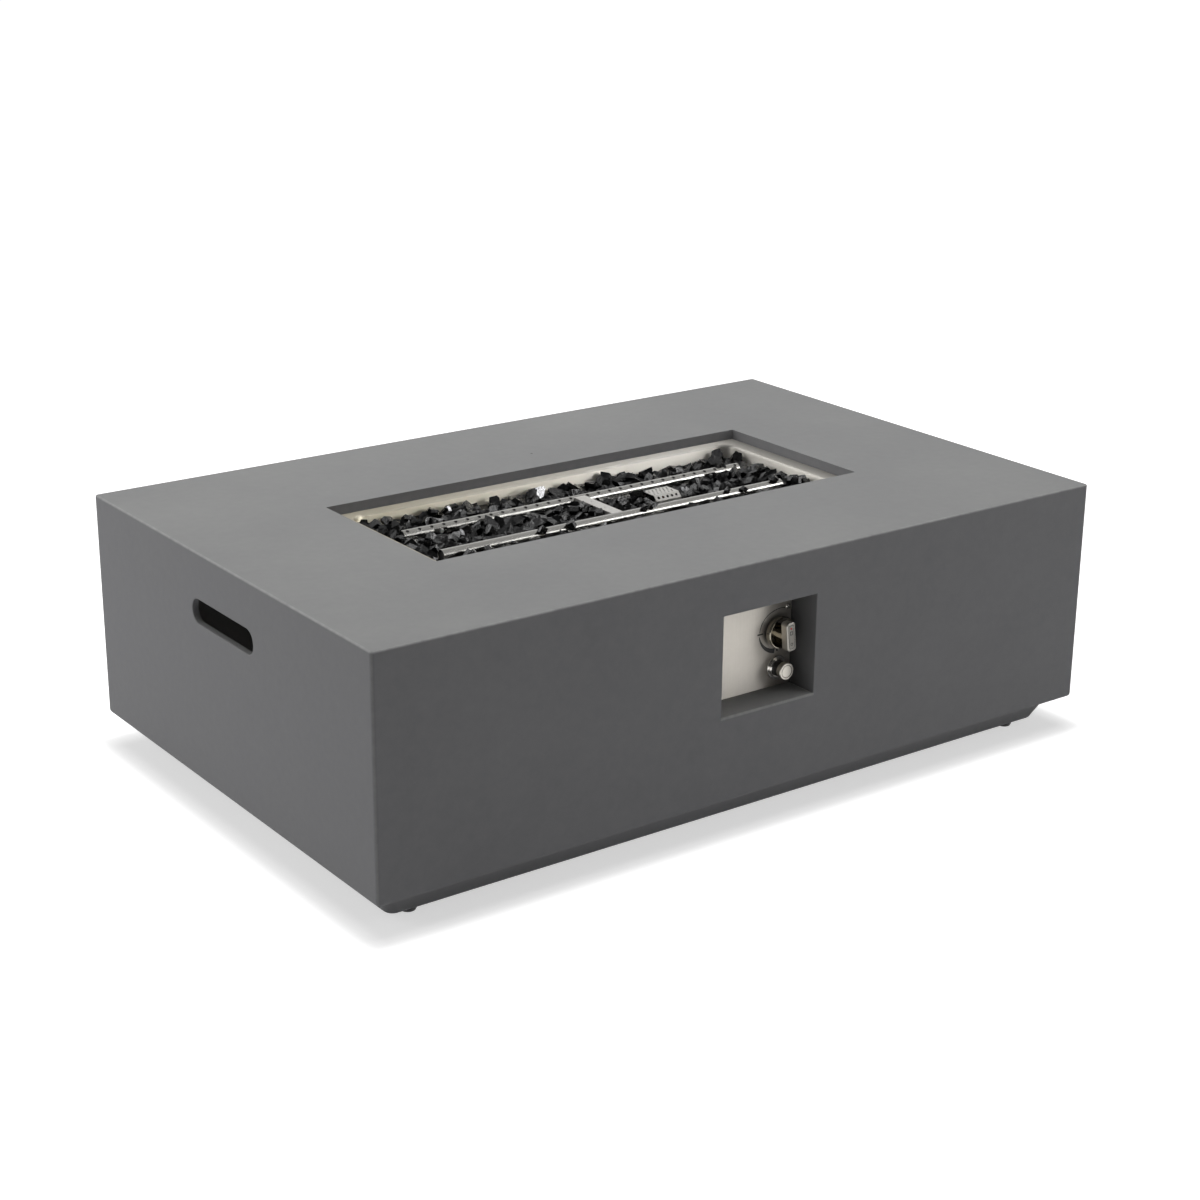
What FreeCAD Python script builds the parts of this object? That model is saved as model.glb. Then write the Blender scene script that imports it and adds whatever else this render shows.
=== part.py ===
import FreeCAD, Part
import math
import os
import Sketcher
from FreeCAD import Placement, Rotation, Vector

# Gas fire pit table, millimetres. +Z is up, +X runs along the long side and the control
# recess faces -Y. The origin is on the floor under the middle of the table.

doc = FreeCAD.newDocument("fire_pit_table")
sheet = doc.addObject("Spreadsheet::Sheet", "dims")

SIZES = [
    # Concrete shell and its plinth
    ("table_length", 1283), ("table_width", 813), ("body_height", 353),
    ("plinth_height", 40), ("plinth_setback", 41), ("plinth_flare", 19), ("foot_drop", 10),
    ("wall", 10), ("top_thickness", 12), ("plinth_wall", 12),
    ("corner_radius", 5), ("top_edge_radius", 3), ("bottom_edge_radius", 6),
    ("plinth_corner_radius", 18), ("plinth_edge_radius", 8), ("cove_radius", 5),
    ("boss_length", 66), ("boss_width", 40), ("boss_inset", 9),
    # Burner opening and the ledge that carries the pan
    ("opening_length", 775), ("opening_width", 305), ("ledge_drop", 15),
    ("ledge_width", 12), ("ledge_thickness", 12), ("collar_wall", 12),
    # Control recess, carrying slots and gas inlet hole
    ("recess_shift", 6), ("recess_width", 170), ("recess_height", 152),
    ("recess_floor", 181.5), ("recess_depth", 54), ("recess_wall", 10),
    ("lip_width", 12), ("lip_thickness", 10), ("recess_edge_radius", 1.2),
    ("slot_length", 180), ("slot_height", 37), ("slot_corner_radius", 17.5),
    ("slot_level", 314.5), ("slot_edge_radius", 1.5),
    ("inlet_shift", -60), ("inlet_level", 31), ("inlet_hole_clearance", 0.3), ("inlet_seat_radius", 16),
    # Burner pan
    ("pan_sheet", 1.2), ("pan_gap", 2), ("flange_width", 19), ("flange_end", 26),
    ("pan_depth", 64),
    ("pan_corner_radius", 22), ("pan_under_bend", 3), ("pan_floor_bend", 6),
    ("drain_radius", 3), ("drain_shift", 150),
    # Burner
    ("tube_diameter", 18), ("tube_sheet", 1.2), ("tube_length", 635),
    ("tube_spacing", 108), ("burner_drop", 23), ("port_diameter", 3),
    ("port_first", 16), ("port_pitch", 21), ("port_count", 15), ("port_tilt", 28), ("feed_hole_radius", 4.5),
    ("cap_recess", 2), ("cap_thickness", 1.5),
    ("cross_width", 20), ("cross_height", 14), ("cross_sheet", 1.5), ("cross_drop", 1),
    ("cross_port_diameter", 2.6), ("cross_port_spacing", 35),
    ("nipple_radius", 10.65), ("nipple_bore", 7.9), ("nipple_tail", 28),
    ("locknut_flats", 30), ("locknut_thickness", 6),
    ("mixer_radius", 15), ("mixer_height", 46), ("mixer_floor", 4), ("mixer_grip", 16),
    ("window_width", 12), ("window_height", 14),
    ("elbow_radius", 9), ("elbow_height", 24), ("elbow_reach", 32), ("elbow_axis_rise", 10),
    ("stand_shift", 255), ("stand_width", 20), ("stand_sheet", 1.5), ("stand_foot", 20),
    ("stand_over_axis", 5), ("screw_radius", 2), ("head_radius", 3.6), ("head_height", 2.2),
    ("burner_screw_length", 8), ("tube_screw_length", 3), ("small_nut_flats", 7),
    ("small_nut_thickness", 3),
    # Pilot
    ("pilot_shift", 120), ("hood_length", 48), ("hood_top_width", 29), ("hood_slope", 8),
    ("hood_sheet", 1), ("hood_flange", 10), ("hood_hole", 3.2), ("hood_slot_hole", 4.6),
    ("bracket_length", 30), ("bracket_width", 24), ("bracket_height", 25),
    ("bracket_sheet", 1.5), ("probe_offset", 7), ("probe_radius", 3), ("probe_tip", 10),
    ("probe_length", 36), ("insulator_radius", 3.5), ("insulator_length", 46),
    ("electrode_radius", 1.2), ("electrode_tip", 10), ("lead_hole_radius", 4.6),
    ("probe_lead_radius", 1.4), ("spark_lead_radius", 1.8),
    # Rock bed
    ("rock_level", 42.5), ("rock_swing", 8), ("rock_pitch", 24), ("rock_clearance", 0.4),
    # Control plate, valve and knob
    ("plate_sheet", 1.5), ("plate_gap", 0.5), ("plate_screw_x", 77), ("plate_screw_high", 43.3),
    ("plate_screw_low", 64),
    ("knob_dx", 58), ("knob_dz", 9.5), ("igniter_dz", -46),
    ("valve_screw_offset", 15), ("valve_flange_width", 24), ("valve_flange_height", 42),
    ("valve_flange_thickness", 4), ("valve_width", 28), ("valve_height", 34),
    ("valve_depth", 48), ("plug_radius", 9), ("plug_start", 12), ("plug_length", 24),
    ("plug_bore_depth", 14), ("stem_radius", 4), ("stem_flat", 3), ("stem_tail", 20.5),
    ("stem_reach", 21.5), ("running_gap", 0.05),
    ("stub_radius", 6), ("stub_length", 20), ("stub_depth", 31.5), ("outlet_dx", -5),
    ("outlet_dz", -6), ("probe_nut_dx", 8), ("probe_nut_dz", 10),
    ("pipe_nut_flats", 17), ("pipe_nut_length", 18), ("pipe_nut_overlap", 12),
    ("probe_nut_flats", 9), ("probe_nut_length", 10),
    ("knob_radius", 24), ("knob_gap", 4.5), ("knob_rim", 13.5), ("knob_wall", 1.8),
    ("knob_web", 9), ("knob_dish", 11), ("hub_radius", 9), ("hub_start", 5.2),
    ("grip_base", 20), ("grip_width", 16), ("grip_span", 44), ("grip_face", 33),
    ("grip_edge", 1.4), ("knob_lean", 5.5),
    ("insert_width", 11), ("insert_span", 38), ("insert_depth", 0.8),
    ("dot_radius", 1.7), ("dot_offset", 13), ("dot_height", 0.3),
    # Igniter
    ("housing_radius", 14.5), ("housing_depth", 62), ("barrel_radius", 12),
    ("barrel_reach", 19), ("barrel_hole_clearance", 0.3), ("cell_radius", 7.25),
    ("cell_length", 49), ("cell_nipple_radius", 2.75), ("cell_nipple", 1.5),
    ("cell_gap", 0.35), ("cell_seat", 46.5), ("bezel_radius", 18), ("bezel_base", 4.5),
    ("bezel_height", 8), ("bezel_top_radius", 15), ("button_radius", 13),
    ("button_start", 17.5), ("button_face", 25.5), ("button_roof", 2),
    ("groove_radius", 8.6), ("groove_width", 0.8), ("groove_depth", 0.8),
    ("plunger_start", 12), ("terminal_width", 6), ("terminal_length", 7),
    ("terminal_sheet", 0.8),
    # Gas lines
    ("pipe_radius", 4.76), ("pipe_bend", 30), ("pipe_level", 120), ("hose_radius", 5.5),
    ("inlet_thread_radius", 7.94), ("inlet_thread_length", 18), ("inlet_hex_flats", 22),
    ("inlet_hex_thickness", 6), ("inlet_inner_reach", 16),
    # Levelling feet
    ("foot_inset_x", 83), ("foot_inset_y", 63), ("pad_radius", 12), ("pad_gap", 0.3),
    ("pad_edge", 3), ("pad_floor", 3), ("stud_radius", 4), ("stud_top", 45),
    ("insert_radius", 6), ("insert_length", 20), ("stud_room", 1),
]
for row, (alias, value) in enumerate(SIZES, start=1):
    sheet.set(f"A{row}", alias)
    sheet.set(f"B{row}", str(value))
    sheet.setAlias(f"B{row}", alias)
doc.recompute()

# Levels and places that several pieces share, as expressions on the sheet
BODY_BASE = "(dims.foot_drop + dims.plinth_height)"
TABLE_TOP = f"({BODY_BASE} + dims.body_height)"
PAN_TOP = f"({TABLE_TOP} - dims.ledge_drop)"
PAN_FLOOR = f"({PAN_TOP} - dims.pan_depth)"
PAN_UNDER = f"({PAN_FLOOR} - dims.pan_sheet)"
LEDGE = f"({PAN_TOP} - dims.pan_sheet)"
COLLAR_BASE = f"({LEDGE} - dims.ledge_thickness)"
PLINTH_LENGTH = "(dims.table_length - 2 * dims.plinth_setback)"
PLINTH_WIDTH = "(dims.table_width - 2 * dims.plinth_setback)"
TUB_LENGTH = "(dims.opening_length - 2 * dims.pan_gap - 2 * dims.flange_end)"
TUB_WIDTH = "(dims.opening_width - 2 * dims.pan_gap - 2 * dims.flange_width)"
TUBE_RADIUS = "(dims.tube_diameter / 2)"
TUBE_TOP = f"({TABLE_TOP} - dims.burner_drop)"
TUBE_AXIS = f"({TUBE_TOP} - {TUBE_RADIUS})"
TUBE_Y = "(dims.tube_spacing / 2)"
CROSS_TOP = f"({TUBE_TOP} - dims.cross_drop)"
CROSS_BASE = f"({CROSS_TOP} - dims.cross_height)"
NIPPLE_BASE = f"({PAN_UNDER} - dims.nipple_tail)"
MIXER_TOP = f"({NIPPLE_BASE} + dims.mixer_grip)"
MIXER_BASE = f"({MIXER_TOP} - dims.mixer_height)"
ELBOW_BASE = f"({MIXER_BASE} - dims.elbow_height)"
ELBOW_AXIS = f"({ELBOW_BASE} + dims.elbow_axis_rise)"
RECESS_Z = "(dims.recess_floor + dims.recess_height / 2)"
PANEL_Y = "(-dims.table_width / 2 + dims.recess_depth)"
RECESS_TOTAL = "(dims.recess_depth + dims.plate_sheet + dims.lip_thickness)"
KNOB_X = "(dims.recess_shift + dims.knob_dx)"
KNOB_Z = f"({RECESS_Z} + dims.knob_dz)"
IGNITER_Z = f"({RECESS_Z} + dims.igniter_dz)"
VALVE_BACK = f"({PANEL_Y} + dims.plate_sheet + dims.valve_flange_thickness + dims.valve_depth)"
STUB_Y = f"({PANEL_Y} + dims.stub_depth)"
FOOT_X = "(dims.table_length / 2 - dims.foot_inset_x)"
FOOT_Y = "(dims.table_width / 2 - dims.foot_inset_y)"
INLET_FACE = f"({PLINTH_WIDTH} / 2)"
HOOD_HALF = "(dims.hood_top_width / 2 + dims.hood_slope)"
STAND_Y = f"({TUBE_Y} - {TUBE_RADIUS})"
PLATE_SCREWS = [(f"{side} * dims.plate_screw_x", z) for side in (-1, 1)
                for z in ("dims.plate_screw_high", "-dims.plate_screw_low")]

TO_FRONT = Rotation(Vector(1, 0, 0), 90)
TO_BACK = Rotation(Vector(1, 0, 0), -90)
TO_LEFT = Rotation(Vector(0, 1, 0), -90)
UPRIGHT = Rotation()

nodes = []


def val(expression):
    """The number that an expression on the sheet gives now."""
    return float(sheet.evalExpression(f"({expression}) * 1"))


def place(obj, x="0", y="0", z="0", turn=UPRIGHT):
    obj.Placement = Placement(Vector(val(x), val(y), val(z)), turn)
    obj.setExpression("Placement.Base.x", x)
    obj.setExpression("Placement.Base.y", y)
    obj.setExpression("Placement.Base.z", z)
    return obj


def node(obj, label):
    """Name a finished sub-part, whose file takes its label."""
    obj.Label = label
    nodes.append(obj)
    return obj


def new_body(name):
    return doc.addObject("PartDesign::Body", name)


def plane_of(body, role):
    return next(f for f in body.Origin.OriginFeatures if f.Role == role)


def new_sketch(body, name, role="XY_Plane", x="0", y="0", z="0"):
    """A sketch on one of the body's origin planes, offset along the plane's own axes."""
    sketch = body.newObject("Sketcher::SketchObject", name)
    sketch.AttachmentSupport = [(plane_of(body, role), "")]
    sketch.MapMode = "FlatFace"
    sketch.setExpression("AttachmentOffset.Base.x", x)
    sketch.setExpression("AttachmentOffset.Base.y", y)
    sketch.setExpression("AttachmentOffset.Base.z", z)
    return sketch


def constrain(sketch, rules):
    """Add constraints at once; a rule is a constraint, a name and its expression or None."""
    for constraint, name, expression in rules:
        if expression is not None:
            constraint.Name = name
    sketch.addConstraint([constraint for constraint, name, expression in rules])
    for constraint, name, expression in rules:
        if expression is not None:
            sketch.setExpression(f"Constraints.{name}", expression)


def distances(geometry, point, spot, x, y):
    """Two rules that hold a point of a sketch at expressions from the sketch's origin."""
    across = Sketcher.Constraint("DistanceX", -1, 1, geometry, point, spot.x)
    up = Sketcher.Constraint("DistanceY", -1, 1, geometry, point, spot.y)
    return [(across, f"x{geometry}", x), (up, f"y{geometry}", y)]


def outline(sketch, points):
    """A closed outline of straight lines through points given as expressions."""
    spots = [Vector(val(x), val(y), 0) for x, y in points]
    count = len(spots)
    first = sketch.GeometryCount
    lines = [Part.LineSegment(spots[i], spots[(i + 1) % count]) for i in range(count)]
    sketch.addGeometry(lines, False)
    rules = []
    for i in range(count):
        follower = first + (i + 1) % count
        joint = Sketcher.Constraint("Coincident", first + i, 2, follower, 1)
        rules.append((joint, "", None))
    for i, (x, y) in enumerate(points):
        rules += distances(first + i, 1, spots[i], x, y)
    constrain(sketch, rules)


def rectangle(sketch, length, width, x="0", y="0"):
    left, right = f"{x} - ({length}) / 2", f"{x} + ({length}) / 2"
    low, high = f"{y} - ({width}) / 2", f"{y} + ({width}) / 2"
    outline(sketch, [(left, low), (right, low), (right, high), (left, high)])


def circle(sketch, radius, x="0", y="0"):
    centre = Vector(val(x), val(y), 0)
    index = sketch.addGeometry(Part.Circle(centre, Vector(0, 0, 1), val(radius)), False)
    size = Sketcher.Constraint("Radius", index, val(radius))
    constrain(sketch, [(size, f"r{index}", radius)] + distances(index, 3, centre, x, y))


def pad(body, sketch, length):
    feature = body.newObject("PartDesign::Pad", sketch.Name + "_pad")
    feature.Profile = sketch
    feature.setExpression("Length", length)
    return feature


def pocket(body, sketch, depth, along_normal=False):
    feature = body.newObject("PartDesign::Pocket", sketch.Name + "_pocket")
    feature.Profile = sketch
    feature.Reversed = along_normal
    feature.setExpression("Length", depth)
    return feature


def fillet(body, radius, chosen):
    """Round the edges of the body's last feature that a test picks."""
    doc.recompute()
    last = body.Tip
    names = [f"Edge{i}" for i, e in enumerate(last.Shape.Edges, start=1) if chosen(e)]
    if not names:
        raise RuntimeError(f"{body.Name}: no edge to round")
    feature = body.newObject("PartDesign::Fillet", body.Name + "_fillet")
    feature.Base = (last, names)
    feature.setExpression("Radius", radius)
    return feature


def near(a, b, room=0.02):
    return abs(a - b) < room


def upright_edge(low, high):
    """A test for vertical edges between two levels."""
    def test(edge):
        box = edge.BoundBox
        flat = box.XLength < 0.01 and box.YLength < 0.01
        return flat and near(box.ZMin, val(low)) and near(box.ZMax, val(high))
    return test


def level_edge(level, half_length, half_width, margin=0.3):
    """A test for edges at one level on the outline of a centred rectangle."""
    def test(edge):
        box = edge.BoundBox
        if not (near(box.ZMin, val(level)) and near(box.ZMax, val(level))):
            return False
        reach_x = max(abs(box.XMin), abs(box.XMax))
        reach_y = max(abs(box.YMin), abs(box.YMax))
        return near(reach_x, val(half_length), margin) or near(reach_y, val(half_width), margin)
    return test


def turned(name, points, x, y, z, turn=UPRIGHT):
    """A turned piece: half its section, as radius and height, revolved about its axis."""
    body = new_body(name)
    sketch = new_sketch(body, name + "_section", "XZ_Plane")
    outline(sketch, points)
    feature = body.newObject("PartDesign::Revolution", name + "_turn")
    feature.Profile = sketch
    feature.ReferenceAxis = (sketch, ["V_Axis"])
    feature.Angle = 360
    return place(body, x, y, z, turn)


def block(name, length, width, height, x, y, z):
    """A box by its sizes and its lowest corner."""
    obj = doc.addObject("Part::Box", name)
    obj.setExpression("Length", length)
    obj.setExpression("Width", width)
    obj.setExpression("Height", height)
    return place(obj, x, y, z)


def rod(name, radius, height, x, y, z, turn=UPRIGHT):
    obj = doc.addObject("Part::Cylinder", name)
    obj.setExpression("Radius", radius)
    obj.setExpression("Height", height)
    return place(obj, x, y, z, turn)


def hexagon(name, flats, height, x, y, z, turn=UPRIGHT):
    """A hexagonal bar by its width across flats."""
    obj = doc.addObject("Part::Prism", name)
    obj.Polygon = 6
    obj.setExpression("Circumradius", f"{flats} / 2 / cos(30)")
    obj.setExpression("Height", height)
    return place(obj, x, y, z, turn)


def cut(name, base, tool):
    obj = doc.addObject("Part::Cut", name)
    obj.Base = base
    obj.Tool = tool
    return obj


def fuse(name, shapes):
    obj = doc.addObject("Part::MultiFuse", name)
    obj.Shapes = shapes
    return obj


def group(name, links):
    """Separate solids that share one node."""
    obj = doc.addObject("Part::Compound", name)
    obj.Links = links
    return obj


def screw(name, length, x, y, z, turn=UPRIGHT):
    """A pan-head screw, its head above z and its shank below, with a cross recess."""
    section = [
        ("0", f"-({length})"), ("dims.screw_radius", f"-({length})"),
        ("dims.screw_radius", "0"), ("dims.head_radius", "0"),
        ("dims.head_radius", "dims.head_height * 0.55"),
        ("dims.head_radius * 0.72", "dims.head_height"), ("0", "dims.head_height"),
    ]
    body = turned(name, section, x, y, z, turn)
    sketch = new_sketch(body, name + "_cross", z="dims.head_height")
    arm, slot = "dims.head_radius * 0.55", "dims.head_radius * 0.14"
    corners = [
        (f"-{arm}", f"-{slot}"), (f"-{slot}", f"-{slot}"), (f"-{slot}", f"-{arm}"),
        (slot, f"-{arm}"), (slot, f"-{slot}"), (arm, f"-{slot}"), (arm, slot), (slot, slot),
        (slot, arm), (f"-{slot}", arm), (f"-{slot}", slot), (f"-{arm}", slot),
    ]
    outline(sketch, corners)
    pocket(body, sketch, "dims.head_height * 0.5")
    return body


def bent_path(points, bend=None):
    """Straight runs joined by tangent arcs; a bend radius of None takes 0.45 of the run."""
    spots = [Vector(*p) for p in points]
    edges, start, radii = [], spots[0], []
    for before, corner, after in zip(spots, spots[1:], spots[2:]):
        back, ahead = before - corner, after - corner
        shorter = min(back.Length, ahead.Length)
        half_turn = (math.pi - back.getAngle(ahead)) / 2
        radius = bend or 0.45 * shorter / math.tan(half_turn)
        setback = radius * math.tan(half_turn)
        back.normalize()
        ahead.normalize()
        into, out = corner + back * setback, corner + ahead * setback
        middle_way = back + ahead
        middle_way.normalize()
        middle = corner + middle_way * (radius / math.cos(half_turn) - radius)
        edges.append(Part.LineSegment(start, into).toShape())
        edges.append(Part.Arc(into, middle, out).toShape())
        start = out
        radii.append(radius)
    edges.append(Part.LineSegment(start, spots[-1]).toShape())
    return Part.Wire(edges), radii


def line_of(name, radius, points, bend=None):
    """A pipe, hose or lead along a bent path, compared with its section times its length."""
    path, radii = bent_path(points, bend)
    along = path.Edges[0].tangentAt(path.Edges[0].FirstParameter)
    ring = Part.Wire([Part.makeCircle(radius, Vector(*points[0]), along)])
    shape = path.makePipeShell([ring], True, False)
    expected = math.pi * radius ** 2 * path.Length
    print(f"{name}: length {path.Length:.0f}, smallest bend {min(radii):.1f},",
          f"volume ratio {shape.Volume / expected:.4f}")
    obj = doc.addObject("Part::Feature", name)
    obj.Shape = shape
    return node(obj, name)


def make_shell():
    """The hollow concrete casting: body, plinth, corner bosses, ledge, recess and slots."""
    body = new_body("shell_casting")
    sketch = new_sketch(body, "body_outline", z=BODY_BASE)
    rectangle(sketch, "dims.table_length", "dims.table_width")
    pad(body, sketch, "dims.body_height")
    fillet(body, "dims.corner_radius", upright_edge(BODY_BASE, TABLE_TOP))
    # The plinth's sides flare out towards the body
    sketch = new_sketch(body, "plinth_outline", z="dims.foot_drop")
    rectangle(sketch, PLINTH_LENGTH, PLINTH_WIDTH)
    plinth = pad(body, sketch, "dims.plinth_height")
    plinth.setExpression("TaperAngle", "atan(dims.plinth_flare / dims.plinth_height)")
    half_body = ("dims.table_length / 2", "dims.table_width / 2")
    half_plinth = (f"{PLINTH_LENGTH} / 2", f"{PLINTH_WIDTH} / 2")
    half_flared = tuple(f"({half} + dims.plinth_flare)" for half in half_plinth)
    low, high = val("dims.foot_drop"), val(BODY_BASE)
    fillet(body, "dims.plinth_corner_radius", lambda e: near(e.BoundBox.ZMin, low)
           and near(e.BoundBox.ZMax, high))
    fillet(body, "dims.top_edge_radius", level_edge(TABLE_TOP, *half_body))
    fillet(body, "dims.bottom_edge_radius", level_edge(BODY_BASE, *half_body))
    fillet(body, "dims.cove_radius", level_edge(BODY_BASE, *half_flared))
    fillet(body, "dims.plinth_edge_radius", level_edge("dims.foot_drop", *half_plinth))

    sketch = new_sketch(body, "plinth_hollow", z="dims.foot_drop")
    rectangle(sketch, f"({PLINTH_LENGTH} - 2 * dims.plinth_wall)",
              f"({PLINTH_WIDTH} - 2 * dims.plinth_wall)")
    pocket(body, sketch, "dims.plinth_height + dims.wall", along_normal=True)
    sketch = new_sketch(body, "body_hollow", z=f"{BODY_BASE} + dims.wall")
    rectangle(sketch, "dims.table_length - 2 * dims.wall",
              "dims.table_width - 2 * dims.wall")
    pocket(body, sketch, "dims.body_height - dims.wall - dims.top_thickness", along_normal=True)

    for side_x in (-1, 1):
        for side_y in (-1, 1):
            centre_x = f"{side_x} * ({half_plinth[0]} - dims.boss_inset - dims.boss_length / 2)"
            centre_y = f"{side_y} * ({half_plinth[1]} - dims.boss_inset - dims.boss_width / 2)"
            sketch = new_sketch(body, "boss_outline", z="dims.foot_drop")
            rectangle(sketch, "dims.boss_length", "dims.boss_width", centre_x, centre_y)
            pad(body, sketch, "dims.plinth_height + dims.wall")
    for name, radius, depth in (
            ("insert_holes", "dims.insert_radius + dims.running_gap", "dims.insert_length"),
            ("stud_holes", "dims.stud_radius + dims.stud_room",
             "dims.plinth_height + dims.wall")):
        sketch = new_sketch(body, name, z="dims.foot_drop")
        for side_x in (-1, 1):
            for side_y in (-1, 1):
                circle(sketch, radius, f"{side_x} * {FOOT_X}", f"{side_y} * {FOOT_Y}")
        pocket(body, sketch, depth, along_normal=True)

    sketch = new_sketch(body, "collar_outline", z=COLLAR_BASE)
    rectangle(sketch, "dims.opening_length + 2 * dims.collar_wall",
              "dims.opening_width + 2 * dims.collar_wall")
    pad(body, sketch, f"{TABLE_TOP} - {COLLAR_BASE} - dims.top_thickness / 2")
    sketch = new_sketch(body, "opening_outline", z=TABLE_TOP)
    rectangle(sketch, "dims.opening_length", "dims.opening_width")
    pocket(body, sketch, f"{TABLE_TOP} - {LEDGE}")
    sketch = new_sketch(body, "throat_outline", z=TABLE_TOP)
    rectangle(sketch, "dims.opening_length - 2 * dims.ledge_width",
              "dims.opening_width - 2 * dims.ledge_width")
    pocket(body, sketch, f"{TABLE_TOP} - {COLLAR_BASE}")

    # Sketches on the XZ plane face -Y, so their offset along the normal is minus y
    sketch = new_sketch(body, "recess_box", "XZ_Plane", "dims.recess_shift", RECESS_Z,
                        f"dims.table_width / 2 - {RECESS_TOTAL}")
    rectangle(sketch, "dims.recess_width + 2 * dims.recess_wall",
              "dims.recess_height + 2 * dims.recess_wall")
    pad(body, sketch, f"{RECESS_TOTAL} - dims.wall / 2")
    sketch = new_sketch(body, "recess_mouth", "XZ_Plane", "dims.recess_shift", RECESS_Z,
                        "dims.table_width / 2")
    rectangle(sketch, "dims.recess_width", "dims.recess_height")
    pocket(body, sketch, "dims.recess_depth + dims.plate_sheet")
    front = -val("dims.table_width") / 2
    fillet(body, "dims.recess_edge_radius", lambda e: near(e.BoundBox.YMax, front)
           and near(e.BoundBox.YMin, front)
           and e.BoundBox.DiagonalLength < val("dims.recess_width") + 1)
    sketch = new_sketch(body, "recess_window", "XZ_Plane", "dims.recess_shift", RECESS_Z,
                        "dims.table_width / 2")
    rectangle(sketch, "dims.recess_width - 2 * dims.lip_width",
              "dims.recess_height - 2 * dims.lip_width")
    pocket(body, sketch, RECESS_TOTAL)
    sketch = new_sketch(body, "plate_screw_holes", "XZ_Plane", "dims.recess_shift", RECESS_Z,
                        "dims.table_width / 2")
    for x, z in PLATE_SCREWS:
        circle(sketch, "dims.screw_radius + dims.running_gap", x, z)
    pocket(body, sketch, RECESS_TOTAL)

    for side, along in ((-1, True), (1, False)):
        sketch = new_sketch(body, "slot_outline", "YZ_Plane", y="dims.slot_level",
                            z=f"{side} * dims.table_length / 2")
        rectangle(sketch, "dims.slot_length", "dims.slot_height")
        pocket(body, sketch, "dims.wall * 1.5", along_normal=along)
        outside = side * val("dims.table_length") / 2
        inside = outside - side * val("dims.wall")
        span = sorted((outside, inside))
        fillet(body, "dims.slot_corner_radius", lambda e: near(e.BoundBox.XMin, span[0])
               and near(e.BoundBox.XMax, span[1]) and e.BoundBox.YLength < 0.01
               and e.BoundBox.ZLength < 0.01
               and abs(e.BoundBox.YMin) < val("dims.slot_length"))
        fillet(body, "dims.slot_edge_radius", lambda e: near(e.BoundBox.XMin, outside)
               and near(e.BoundBox.XMax, outside)
               and e.BoundBox.DiagonalLength < val("dims.slot_length"))

    # A flat seat for the inlet's hexagon, then its hole
    sketch = new_sketch(body, "inlet_seat", "XZ_Plane", "dims.inlet_shift",
                        "dims.inlet_level", "-dims.table_width / 2")
    circle(sketch, "dims.inlet_seat_radius")
    pocket(body, sketch, f"dims.table_width / 2 - {INLET_FACE}", along_normal=True)
    sketch = new_sketch(body, "inlet_hole", "XZ_Plane", "dims.inlet_shift",
                        "dims.inlet_level", f"-{INLET_FACE}")
    circle(sketch, "dims.inlet_thread_radius + dims.inlet_hole_clearance")
    pocket(body, sketch, "dims.plinth_wall * 2", along_normal=True)
    node(body, "concrete_shell")


def make_feet():
    """Threaded inserts in the plinth's corners, and four screwed levelling feet."""
    sleeves = []
    number = 0
    for side_y in (-1, 1):
        for side_x in (-1, 1):
            number += 1
            x, y = f"{side_x} * {FOOT_X}", f"{side_y} * {FOOT_Y}"
            section = [
                ("dims.stud_radius + dims.running_gap", "0"), ("dims.insert_radius", "0"),
                ("dims.insert_radius", "dims.insert_length"),
                ("dims.stud_radius + dims.running_gap", "dims.insert_length"),
            ]
            sleeves.append(turned(f"sleeve_{number}", section, x, y, "dims.foot_drop"))
            section = [
                ("0", "dims.pad_floor"), ("dims.stud_radius", "dims.pad_floor"),
                ("dims.stud_radius", "dims.stud_top - 1"),
                ("dims.stud_radius - 1", "dims.stud_top"), ("0", "dims.stud_top"),
            ]
            node(turned(f"stud_{number}", section, x, y, "0"), f"foot_stud_{number}")
            top = "dims.foot_drop - dims.pad_gap"
            section = [
                ("0", "0"), ("dims.pad_radius - dims.pad_edge / 2", "0"),
                ("dims.pad_radius", "dims.pad_edge"), ("dims.pad_radius", f"{top} - 1"),
                ("dims.pad_radius - 1", top), ("dims.stud_radius + dims.running_gap", top),
                ("dims.stud_radius + dims.running_gap", "dims.pad_floor"),
                ("0", "dims.pad_floor"),
            ]
            node(turned(f"pad_{number}", section, x, y, "0"), f"foot_pad_{number}")
    node(group("sleeves", sleeves), "foot_inserts")


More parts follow.
